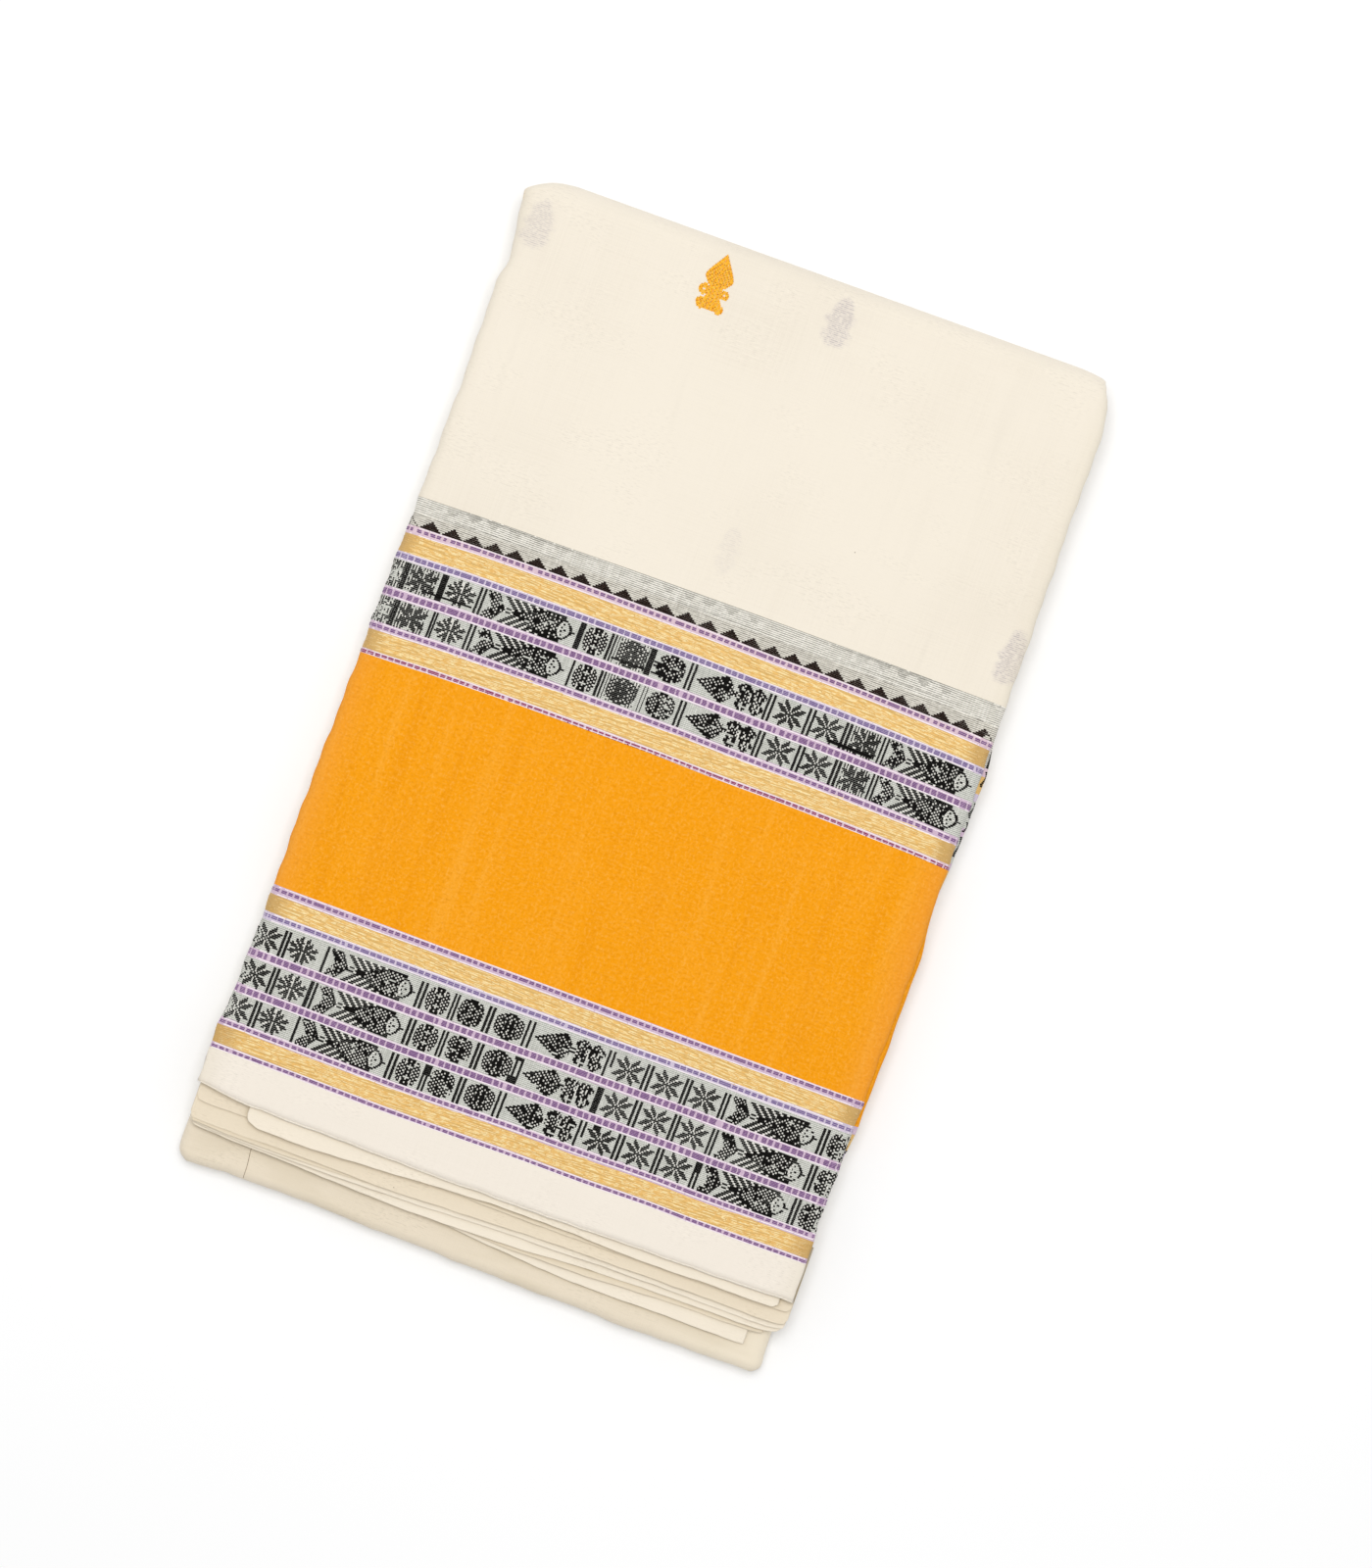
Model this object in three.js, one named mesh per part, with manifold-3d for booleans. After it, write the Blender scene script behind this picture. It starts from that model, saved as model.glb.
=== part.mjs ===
// A cotton saree folded for the shelf: one length of cloth, halved four times along its length and
// once across its width, lying on its rear half. Millimetres, +Z up, +Y towards the top fold.
// The origin is the centre of the underside.
import * as THREE from 'three';
import { mergeVertices } from 'three/addons/utils/BufferGeometryUtils.js';
import Module from 'manifold-3d';

const wasm = await Module();
wasm.setup();

// ---- driving sizes ----
const WALL = 1.2;            // a showing leaf: cloth and the layer that clings to it
const GAP = 0.3;             // air between pieces
const INSET = WALL + 0.4;    // hidden layers below a showing leaf
const SIDE_INSET = WALL + 1.3; // hidden folds inside a showing side fold
const CORNER_INSET = 3.5;    // and further in at the top fold's corners
const HALF_Z = 13.0;         // level where the front half lies on the rear half
const FRONT_H = 11.0;        // front half above that level, at its selvedge end
const FRONT_RISE = 0.21;     // how much thicker the front half is near the top fold (share)
const TURN_TOP = 12.7;       // top of the rear half's bottom turn
const REAR_EQUATOR = 6.3;    // widest level of the rear half's side folds
const TOP_Y = 291.5;         // outermost line of the top fold
const TOP_ROLL = 13.0;       // reach of the top fold's roll, along Y
const TURN_ROLL = 6.0;       // reach of the bottom turn's roll
const FRONT_END_Y = -213.0;  // where the hidden layers of the front half give way to the loose ends
const SEAM = 0.3;            // the joint line between body and border

// ---- outlines: one row for each level of the packet, y then the two side edges ----
const FRONT_EDGES = [
  // y,      left,   right
  [291.5, -146.0, 150.0],
  [289.6, -156.0, 162.0],
  [286.5, -163.0, 164.8],
  [281.0, -171.0, 167.0],
  [278.5, -172.3, 168.2],
  [270.0, -171.0, 170.6],
  [254.0, -169.0, 172.4],
  [240.0, -167.2, 172.2],
  [227.0, -169.4, 171.9],
  [163.0, -169.0, 172.6],
  [77.0, -170.2, 173.0],
  [-9.0, -171.6, 173.0],
  [-52.0, -172.2, 173.8],
  [-95.0, -172.9, 173.2],
  [-138.0, -172.6, 173.0],
  [-191.5, -174.0, 172.2],
  [-213.0, -175.3, 172.8],
  [-248.0, -174.8, 173.8],
];
const REAR_EDGES = [
  [291.5, -145.0, 149.0],
  [289.6, -155.0, 160.8],
  [286.5, -162.0, 163.6],
  [281.0, -169.8, 165.6],
  [278.5, -170.9, 166.6],
  [270.0, -169.8, 168.8],
  [254.0, -167.9, 170.7],
  [240.0, -166.4, 170.6],
  [227.0, -168.2, 170.6],
  [163.0, -168.0, 171.0],
  [-9.0, -170.0, 171.4],
  [-138.0, -171.0, 171.2],
  [-213.0, -173.0, 170.0],
  [-256.0, -173.8, 169.0],
  [-280.0, -174.2, 169.4],
  [-285.5, -173.6, 169.9],
  [-288.5, -171.8, 169.2],
  [-291.0, -168.6, 166.6],
  [-292.5, -165.5, 163.5],
];
// how far the second fold stands past the front leaf's right edge
const FOLD_PROUD = [
  // y,   proud
  [268, -0.6],
  [92, -0.3],
  [76, 1.0],
  [66, 2.5],
  [40, 2.7],
  [15, 1.5],
  [-20, 0.5],
  [-45, 2.2],
  [-140, 2.2],
  [-158, 0.8],
  [-175, -0.4],
  [-212, -0.8],
];
// the two edges that run across the packet
const SELVEDGE = [
  // x,     y
  [-176, -241.6],
  [-144, -244.9],
  [0, -247.1],
  [85, -246.5],
  [176, -246.0],
];
const JOINT_LINE = [
  [-176, 85.7],
  [0, 83.7],
  [176, 81.9],
];
const TURN_EDGE = [
  [-170, -286.7],
  [-134, -286.2],
  [-80, -287.1],
  [-26, -288.4],
  [27, -290.4],
  [81, -291.1],
  [135, -291.6],
  [170, -291.6],
];
// loose ends under the front leaf: name, levels of the lower and upper face, start line, and the
// outer edge as x, y pairs from the left end to the right end
const LOOSE_ENDS = [
  {
    name: 'leaf_2', low: 20.3, high: 22.4, start: -214.2,
    edge: [[-143.4, -248.4], [-142.4, -252.2], [-139.4, -254.0], [-134.0, -255.5], [-104.7, -255.6],
      [-65, -254.0], [-18, -251.4], [40, -250.9], [86, -252.4], [130, -251.6], [163.0, -251.6], [166.3, -249.6]],
  },
  {
    name: 'leaf_3', low: 17.8, high: 20.0, start: -214.2,
    edge: [[-173.6, -258.0], [-171.5, -262.0], [-106, -262.4], [-50, -262.8], [0, -261.4], [60, -260.2],
      [108, -259.8], [160, -260.2], [172.6, -259.2], [174.4, -256.0]],
  },
  {
    name: 'leaf_4', low: 15.3, high: 17.5, start: -214.2,
    edge: [[-172.6, -263.0], [-169.0, -265.6], [-121, -268.0], [-65, -270.2], [5, -270.2], [52, -268.2],
      [108, -266.6], [160, -266.4], [170.5, -264.6], [173.6, -261.0]],
  },
  {
    name: 'leaf_5', low: 13.0, high: 15.0, start: -214.2,
    edge: [[-171.8, -257.0], [-169.5, -260.4], [-121, -262.8], [-70, -265.2], [-42, -269.0], [0, -273.0],
      [30, -275.6], [60, -277.2], [108, -277.6], [150, -277.8], [155.4, -277.6], [156.2, -275.8]],
  },
];

// ---- finishes ----
const finish = (r, g, b, roughness) =>
  new THREE.MeshStandardMaterial({ color: new THREE.Color().setRGB(r, g, b, THREE.SRGBColorSpace), roughness, metalness: 0 });
const CREAM = finish(0.955, 0.925, 0.86, 0.85);
const EDGE_CREAM = finish(0.93, 0.885, 0.80, 0.88);
const ORANGE = finish(0.985, 0.647, 0.10, 0.8);

// ---- small helpers ----
const rad = (deg) => (deg * Math.PI) / 180;
const clamp = (v, lo, hi) => Math.min(hi, Math.max(lo, v));
const ease = (v) => { const t = clamp(v, 0, 1); return t * t * (3 - 2 * t); };
const span = (from, to, n) => Array.from({ length: n + 1 }, (_, i) => from + ((to - from) * i) / n);

// value of a column of a table at a key, joined by a smooth curve
function look(table, key, column = 1) {
  const rows = table[0][0] < table[table.length - 1][0] ? table : [...table].reverse();
  const n = rows.length;
  if (key <= rows[0][0]) return rows[0][column];
  if (key >= rows[n - 1][0]) return rows[n - 1][column];
  let i = 0;
  while (key > rows[i + 1][0]) i += 1;
  const slope = (k) => {
    const a = rows[Math.max(0, k - 1)];
    const b = rows[Math.min(n - 1, k + 1)];
    return (b[column] - a[column]) / (b[0] - a[0]);
  };
  const h = rows[i + 1][0] - rows[i][0];
  const t = (key - rows[i][0]) / h;
  const p0 = rows[i][column];
  const p1 = rows[i + 1][column];
  return (2 * t ** 3 - 3 * t ** 2 + 1) * p0 + (t ** 3 - 2 * t ** 2 + t) * h * slope(i)
    + (-2 * t ** 3 + 3 * t ** 2) * p1 + (t ** 3 - t ** 2) * h * slope(i + 1);
}

// the front half is a little thicker near the top fold, and lies in long soft swells
function swell(x, y) {
  return 1 + FRONT_RISE * ease((y + 245) / 420)
    + 0.02 * Math.sin(x / 47 + 0.6) * ease((y + 200) / 120)
    + 0.012 * Math.sin(y / 38 + x / 90);
}

// a closed mesh from vertices and triangles
function closed(name, points, triangles, material) {
  const geometry = new THREE.BufferGeometry();
  geometry.setAttribute('position', new THREE.Float32BufferAttribute(points.flat(), 3));
  geometry.setIndex(triangles.flat());
  const merged = mergeVertices(geometry, 1e-3);
  merged.computeVertexNormals();
  const mesh = new THREE.Mesh(merged, material);
  mesh.name = name;
  return mesh;
}

// a wall of cloth: a grid of points on its outer side, and the same grid moved in by its thickness
function wall(name, grid, thickness, material, flip = false) {
  const rows = grid.length;
  const cols = grid[0].length;
  const normals = grid.map((row) => row.map(() => new THREE.Vector3()));
  const v = (i, j) => new THREE.Vector3(...grid[i][j]);
  for (let i = 0; i < rows - 1; i += 1) {
    for (let j = 0; j < cols - 1; j += 1) {
      const quad = [[i, j], [i, j + 1], [i + 1, j + 1], [i + 1, j]];
      const n = v(i + 1, j + 1).sub(v(i, j)).cross(v(i + 1, j).sub(v(i, j + 1)));
      if (flip) n.negate();
      quad.forEach(([a, b]) => normals[a][b].add(n));
    }
  }
  const points = [];
  grid.forEach((row) => row.forEach((p) => points.push([...p])));
  grid.forEach((row, i) => row.forEach((p, j) => {
    const n = normals[i][j].normalize();
    points.push([p[0] - n.x * thickness, p[1] - n.y * thickness, p[2] - n.z * thickness]);
  }));
  const outer = (i, j) => i * cols + j;
  const inner = (i, j) => rows * cols + i * cols + j;
  const tris = [];
  const face = (a, b, c, d) => {
    if (flip) tris.push([a, c, b], [a, d, c]);
    else tris.push([a, b, c], [a, c, d]);
  };
  for (let i = 0; i < rows - 1; i += 1) {
    for (let j = 0; j < cols - 1; j += 1) {
      face(outer(i, j), outer(i, j + 1), outer(i + 1, j + 1), outer(i + 1, j));
      face(inner(i, j), inner(i + 1, j), inner(i + 1, j + 1), inner(i, j + 1));
    }
  }
  for (let j = 0; j < cols - 1; j += 1) {
    face(outer(0, j + 1), outer(0, j), inner(0, j), inner(0, j + 1));
    face(outer(rows - 1, j), outer(rows - 1, j + 1), inner(rows - 1, j + 1), inner(rows - 1, j));
  }
  for (let i = 0; i < rows - 1; i += 1) {
    face(outer(i, 0), outer(i + 1, 0), inner(i + 1, 0), inner(i, 0));
    face(outer(i + 1, cols - 1), outer(i, cols - 1), inner(i, cols - 1), inner(i + 1, cols - 1));
  }
  return closed(name, points, tris, material);
}

// closed rings joined one after another, with a flat cap at each end; pick gives the two
// coordinates that a cap lies in
function loft(rings, pick) {
  const n = rings[0].length;
  const points = rings.flat();
  const tris = [];
  for (let r = 0; r < rings.length - 1; r += 1) {
    for (let k = 0; k < n; k += 1) {
      const a = r * n + k;
      const b = r * n + ((k + 1) % n);
      tris.push([a, b, b + n], [a, b + n, a + n]);
    }
  }
  const cap = (r, reverse) => {
    const flat = rings[r].map((p) => new THREE.Vector2(...pick(p)));
    THREE.ShapeUtils.triangulateShape(flat, []).forEach(([a, b, c]) => {
      const t = [r * n + a, r * n + b, r * n + c];
      tris.push(reverse ? [t[0], t[2], t[1]] : t);
    });
  };
  cap(0, true);
  cap(rings.length - 1, false);
  return { points, tris };
}

// turns every face over where the whole body came out inside out
function outward({ points, tris }) {
  let volume = 0;
  tris.forEach(([a, b, c]) => {
    const p = new THREE.Vector3(...points[a]);
    volume += p.dot(new THREE.Vector3(...points[b]).cross(new THREE.Vector3(...points[c])));
  });
  return volume < 0 ? { points, tris: tris.map(([a, b, c]) => [a, c, b]) } : { points, tris };
}

// ---- the front leaf: body and border ----
// side fold of the front leaf at a level: reach in, height of its half, and how far round it goes
// (near the loose ends the fold first opens, then flattens)
function sideFold(y, side) {
  const full = ease((y - (FRONT_END_Y + 2)) / 26);
  const round = ease((y - (FRONT_END_Y + 28)) / 20);
  const tall = side === 'left' ? 5.3 : 3.4;
  return {
    reach: 3 + full * (side === 'left' ? 4.0 : 3.0),
    half: 1.2 + full * (tall - 1.2),
    turn: 88 + round * (side === 'left' ? 60 : 12),
  };
}

// one row of the front leaf, at a level y and a share of the top roll (0 flat, 90 at its equator)
function frontRow(lineAt, roll, colsAcross) {
  const lift = Math.cos(rad(roll));
  const place = (x0, xf, heightOf) => {
    const y = lineAt(x0);
    const z = HALF_Z + GAP / 2 + (heightOf(y) - GAP / 2) * swell(x0, y) * lift;
    return [xf, y, z];
  };
  const yMid = lineAt(0);
  const left = look(FRONT_EDGES, lineAt(-170), 1);
  const right = look(FRONT_EDGES, lineAt(170), 2);
  const fl = sideFold(lineAt(-170), 'left');
  const fr = sideFold(lineAt(170), 'right');
  const turnL = 88 + (fl.turn - 88) * lift;
  const turnR = 88 + (fr.turn - 88) * lift;
  const row = [];
  span(turnL, 0, 6).forEach((th) => {
    const x = left + fl.reach - fl.reach * Math.sin(rad(th));
    row.push(place(x, x, () => FRONT_H - fl.half + fl.half * Math.cos(rad(th))));
  });
  span(left + fl.reach, right - fr.reach, colsAcross).slice(1, -1).forEach((x) => {
    row.push(place(x, x, () => FRONT_H));
  });
  span(0, turnR, 4).forEach((th) => {
    const x = right - fr.reach + fr.reach * Math.sin(rad(th));
    row.push(place(x, x, () => FRONT_H - fr.half + fr.half * Math.cos(rad(th))));
  });
  return { row, yMid };
}

function frontGrid(lines, colsAcross) {
  return lines.map(({ lineAt, roll }) => frontRow(lineAt, roll, colsAcross).row);
}

const lineBetween = (a, b, t) => (x) => a(x) + (b(x) - a(x)) * t;
const selvedgeAt = (x) => look(SELVEDGE, x);
const jointAt = (x) => look(JOINT_LINE, x);
const level = (y) => () => y;

const borderRows = [0, 0.035, 0.07, 0.105, 0.14, 0.19, 0.3, 0.42, 0.54, 0.66, 0.78, 0.89, 1].map((t) => ({
  lineAt: lineBetween(selvedgeAt, (x) => jointAt(x) - SEAM / 2, t), roll: 0,
}));
const bodyFlat = [0, 0.14, 0.28, 0.42, 0.56, 0.7, 0.82, 0.92, 1].map((t) => ({
  lineAt: lineBetween((x) => jointAt(x) + SEAM / 2, level(TOP_Y - TOP_ROLL), t), roll: 0,
}));
const bodyRoll = span(0, 90, 8).slice(1).map((a) => ({
  lineAt: level(TOP_Y - TOP_ROLL + TOP_ROLL * Math.sin(rad(a))), roll: a,
}));
const frontBorder = wall('front_border', frontGrid(borderRows, 14), WALL, ORANGE);
const frontBody = wall('front_body', frontGrid([...bodyFlat, ...bodyRoll], 14), WALL, CREAM);

// ---- the back leaf, on which everything lies ----
function backRow(y, topRoll, turnRoll, colsAcross) {
  const left = look(REAR_EDGES, y, 1);
  const right = look(REAR_EDGES, y, 2);
  const reach = 5;
  const settle = (z) => {
    const up = HALF_Z - GAP / 2;
    const z1 = up - (up - z) * Math.cos(rad(topRoll));
    return REAR_EQUATOR - GAP - (REAR_EQUATOR - GAP - z1) * Math.cos(rad(turnRoll));
  };
  const side = (th) => (REAR_EQUATOR - GAP) * (1 - Math.cos(rad(th)));
  const row = [];
  span(90, 0, 4).forEach((th) => row.push([left + reach - reach * Math.sin(rad(th)), y, settle(side(th))]));
  span(left + reach, right - reach, colsAcross).slice(1, -1).forEach((x) => row.push([x, y, settle(0)]));
  span(0, 90, 4).forEach((th) => row.push([right - reach + reach * Math.sin(rad(th)), y, settle(side(th))]));
  return row;
}
// a row near the bottom follows the turn's edge
function turnShift(row) {
  return row.map(([x, y, z]) => {
    const share = ease((-240 - y) / 40);
    return [x, y + share * (look(TURN_EDGE, x) + 291.6), z];
  });
}
const backGrid = [
  ...span(90, 0, 6).map((a) => backRow(TOP_Y - TOP_ROLL + TOP_ROLL * Math.sin(rad(a)), a, 0, 7)),
  ...[248.5, 163, -9, -138, -213, -256, -280].map((y) => backRow(y, 0, 0, 7)),
  ...span(0, 90, 5).map((a) => backRow(-285.6 - TURN_ROLL * Math.sin(rad(a)), 0, a, 7)),
].map(turnShift);
const backLeaf = wall('back_leaf', backGrid, WALL, CREAM);

// ---- the bottom turn: the rear half's cloth, turned up and in under the loose ends ----
function turnRow(y, roll, colsAcross) {
  const left = look(REAR_EDGES, y, 1);
  const right = look(REAR_EDGES, y, 2);
  const reach = 5;
  const base = REAR_EQUATOR + GAP;
  const settle = (h) => base + h * Math.cos(rad(roll));
  const side = (th) => (TURN_TOP - base) * Math.cos(rad(th));
  const row = [];
  span(90, 0, 4).forEach((th) => row.push([left + reach - reach * Math.sin(rad(th)), y, settle(side(th))]));
  span(left + reach, right - reach, colsAcross).slice(1, -1).forEach((x) => row.push([x, y, settle(TURN_TOP - base)]));
  span(0, 90, 4).forEach((th) => row.push([right - reach + reach * Math.sin(rad(th)), y, settle(side(th))]));
  return row;
}
const turnGrid = [
  ...span(90, 0, 5).map((a) => turnRow(-285.6 - TURN_ROLL * Math.sin(rad(a)), a, 14)),
  turnRow(-280, 0, 14), turnRow(-256, 0, 14), turnRow(-250, 0, 14),
].map(turnShift);
const bottomTurn = wall('bottom_turn', turnGrid, WALL, EDGE_CREAM);

// ---- the second fold, which shows along the right edge ----
const foldRows = [262, 248, 227, 163, 100, 77, 64, 40, 15, -20, -45, -95, -138, -158, -185, -211];
const foldGrid = foldRows.map((y) => {
  const edge = look(FRONT_EDGES, y, 2) + look(FOLD_PROUD, y);
  const half = 3.1;
  const reach = 4.5;
  const row = [];
  const put = (x, h) => row.push([x, y, HALF_Z + h * swell(x, y)]);
  put(edge - 9, 3.5 + half);
  span(0, 180, 6).forEach((th) => put(edge - reach + reach * Math.sin(rad(th)), 3.5 + half * Math.cos(rad(th))));
  put(edge - 9, 3.5 - half);
  return row;
});
const rightFold = wall('right_fold', foldGrid, WALL, ORANGE, true);

// ---- the loose ends ----
function looseEnd({ name, low, high, start, edge }) {
  const first = edge[0][0];
  const last = edge[edge.length - 1][0];
  const stations = [...new Set([first, first + 1, ...edge.slice(1, -1).map((e) => e[0]),
    ...span(first, last, 9).slice(1, -1), last - 1, last])].sort((a, b) => a - b)
    .filter((x, i, all) => i === 0 || i === all.length - 1 || (x - all[i - 1] > 0.9 && all[all.length - 1] - x > 0.9));
  const rings = stations.map((x) => {
    const fromEnd = Math.min(x - first, last - x);
    const round = 0.35 + 0.65 * Math.sqrt(clamp(fromEnd / 1.2, 0, 1));
    const mid = (low + high) / 2;
    const half = ((high - low) / 2) * round;
    const y = look(edge, x);
    const at = (py, h) => [x, py, HALF_Z + (mid + h - HALF_Z) * swell(x, Math.max(py, y))];
    const ring = [at(start, half)];
    ring.push(at(-236, half));
    span(90, -90, 4).forEach((a) => ring.push(at(y + half - half * Math.cos(rad(a)), half * Math.sin(rad(a)))));
    ring.push(at(-236, -half));
    ring.push(at(start, -half));
    return ring;
  });
  const { points, tris } = outward(loft(rings, (p) => [p[1], p[2]]));
  return closed(name, points, tris, EDGE_CREAM);
}
const looseEnds = LOOSE_ENDS.map(looseEnd);

// ---- the hidden layers: a front and a rear block in one, each with its folds at the sides ----
// a fold is a half ellipse between two levels, standing out to a line; between folds the side
// draws in to a groove
function foldedSide(folds, groove, direction) {
  const side = [];
  folds.forEach(({ from, to, out, deep = 4 }) => {
    const mid = (from + to) / 2;
    const half = (to - from) / 2;
    side.push([groove, from]);
    span(-90, 90, 4).forEach((a) => {
      const reach = Math.min(deep, Math.abs(out - groove));
      side.push([out - direction * reach * (1 - Math.cos(rad(a))), mid + half * Math.sin(rad(a))]);
    });
    side.push([groove, to]);
  });
  return side;
}

function frontBlock() {
  const rowsY = [TOP_Y - INSET - 1.2, 287, 283, 276, 262, 248.5, 238, 227, 163, -9, -95, -138, -185, FRONT_END_Y];
  const rings = rowsY.map((y) => {
    const rollAt = clamp((y - (TOP_Y - TOP_ROLL)) / (TOP_ROLL - INSET), 0, 0.999);
    const lift = Math.sqrt(1 - rollAt ** 2);
    const edgeL = look(FRONT_EDGES, y, 1) + SIDE_INSET + CORNER_INSET * (1 - lift);
    const edgeR = look(FRONT_EDGES, y, 2) - SIDE_INSET - CORNER_INSET * (1 - lift);
    const foldR = edgeR + look(FOLD_PROUD, y);
    const top = FRONT_H - INSET;
    const right = foldedSide([
      { from: 2.2, to: 4.8, out: Math.min(foldR, edgeR) },
      { from: 7.6, to: top, out: edgeR, deep: 7 },
    ], edgeR - 9.5, 1);
    const left = foldedSide([{ from: 2.4, to: top, out: edgeL, deep: 7 }], edgeL + 9, -1).reverse();
    const section = [[edgeL + 10, -0.9], [edgeR - 11, -0.9], ...right, ...span(edgeR - 20, edgeL + 20, 6).map((x) => [x, top]), ...left];
    return section.map(([x, h]) => [x, y, HALF_Z + (h < 0 ? h : h * swell(x, y) * lift)]);
  });
  return outward(loft(rings, (p) => [p[0], p[2]]));
}

function rearBlock() {
  const rowsY = [
    TOP_Y - INSET - 1.2, 287, 283, 276, 262, 248.5, 163, -9, -138, -213, -247, -249, -256, -280, -285.6, -288, -289.4,
  ];
  const rings = rowsY.map((y) => {
    const rollAt = clamp((y - (TOP_Y - TOP_ROLL)) / (TOP_ROLL - INSET), 0, 0.999);
    const lift = Math.sqrt(1 - rollAt ** 2);
    const edgeL = look(REAR_EDGES, y, 1) + CORNER_INSET * (1 - lift);
    const edgeR = look(REAR_EDGES, y, 2) - CORNER_INSET * (1 - lift);
    const turnAt = clamp((-y - 285.0) / (TURN_ROLL - INSET), 0, 0.999);
    const turn = Math.sqrt(1 - turnAt ** 2);
    const inTurn = y < -248;
    const top = inTurn ? TURN_TOP - INSET : HALF_Z - 0.4;
    const out = (showing) => (inTurn ? SIDE_INSET + 0.9 : showing);
    const folds = (edge, dir, a, b) => foldedSide([
      { from: 2.1, to: 5.5, out: edge - dir * (SIDE_INSET + 0.5) },
      { from: 6.5, to: 9.1, out: edge - dir * out(a) },
      { from: 9.4, to: top - 0.1, out: edge - dir * out(b) },
    ], edge - dir * 7, dir);
    const right = folds(edgeR, 1, 0.5, 1.6);
    const left = folds(edgeL, -1, 1.4, 0.4).reverse();
    const section = [[edgeL + 12, INSET], [edgeR - 12, INSET], ...right, ...span(edgeR - 20, edgeL + 20, 6).map((x) => [x, top]), ...left];
    return section.map(([x, z]) => {
      const z1 = HALF_Z - (HALF_Z - z) * lift;
      const share = ease((-240 - y) / 40);
      return [x, y + share * (look(TURN_EDGE, x) + 291.6), REAR_EQUATOR + (z1 - REAR_EQUATOR) * turn];
    });
  });
  return outward(loft(rings, (p) => [p[0], p[2]]));
}

function solid({ points, tris }) {
  const geometry = new THREE.BufferGeometry();
  geometry.setAttribute('position', new THREE.Float32BufferAttribute(points.flat(), 3));
  geometry.setIndex(tris.flat());
  const merged = mergeVertices(geometry, 1e-3);
  const index = Array.from(merged.index.array);
  const kept = [];
  for (let i = 0; i < index.length; i += 3) {
    const [a, b, c] = index.slice(i, i + 3);
    if (a !== b && b !== c && c !== a) kept.push(a, b, c);
  }
  return new wasm.Manifold(new wasm.Mesh({
    numProp: 3,
    vertProperties: new Float32Array(merged.attributes.position.array),
    triVerts: new Uint32Array(kept),
  }));
}

const joined = solid(frontBlock()).add(solid(rearBlock())).getMesh();
const hiddenGeometry = new THREE.BufferGeometry();
hiddenGeometry.setAttribute('position', new THREE.Float32BufferAttribute(Array.from(joined.vertProperties), 3));
hiddenGeometry.setIndex(Array.from(joined.triVerts));
hiddenGeometry.computeVertexNormals();
const hiddenLayers = new THREE.Mesh(hiddenGeometry, EDGE_CREAM);
hiddenLayers.name = 'hidden_layers';

// ---- the folded saree ----
const saree = new THREE.Group();
saree.add(hiddenLayers, backLeaf, bottomTurn, ...looseEnds, rightFold, frontBorder, frontBody);
const box = new THREE.Box3().setFromObject(saree, true);
const middle = box.getCenter(new THREE.Vector3());
saree.position.set(-middle.x, -middle.y, -box.min.z);

export default saree;
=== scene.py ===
"""A folded cotton saree: looks.

Every piece is made from the same outline tables and fold formulas as the solids of the part, in
millimetres, and turned into metres in the part's frame at the end. Woven ornament is made of
thread floats: short raised ridges that follow the cloth.
"""
import math

import bpy
import numpy as np
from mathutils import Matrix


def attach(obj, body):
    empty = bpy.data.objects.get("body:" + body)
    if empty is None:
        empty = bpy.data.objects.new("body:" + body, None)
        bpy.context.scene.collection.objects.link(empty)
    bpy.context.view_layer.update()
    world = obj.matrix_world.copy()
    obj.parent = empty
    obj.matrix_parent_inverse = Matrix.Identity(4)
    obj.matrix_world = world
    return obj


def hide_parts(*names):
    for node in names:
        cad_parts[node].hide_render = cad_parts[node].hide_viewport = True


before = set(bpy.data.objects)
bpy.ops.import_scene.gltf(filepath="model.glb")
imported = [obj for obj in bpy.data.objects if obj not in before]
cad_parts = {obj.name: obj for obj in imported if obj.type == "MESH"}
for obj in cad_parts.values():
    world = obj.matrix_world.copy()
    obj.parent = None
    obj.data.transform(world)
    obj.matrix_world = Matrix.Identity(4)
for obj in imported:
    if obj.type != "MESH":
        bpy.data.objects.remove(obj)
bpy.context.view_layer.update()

SHIFT = np.array([-0.3046, 0.0594, 0.0])     # from the tables' origin to the part's, mm
PX = 0.5371                                  # one step of the layout grid, mm
RNG = np.random.default_rng(7)

# ------------------------------------------------------------------ sizes, as in the solids
HALF_Z = 13.0
GAP = 0.3
FRONT_H = 11.0
FRONT_RISE = 0.21
TURN_TOP = 12.7
REAR_EQUATOR = 6.3
TOP_Y = 291.5
TOP_ROLL = 13.0
TURN_ROLL = 6.0
FRONT_END_Y = -213.0
CLOTH = 0.45                                 # one leaf of cloth

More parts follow.
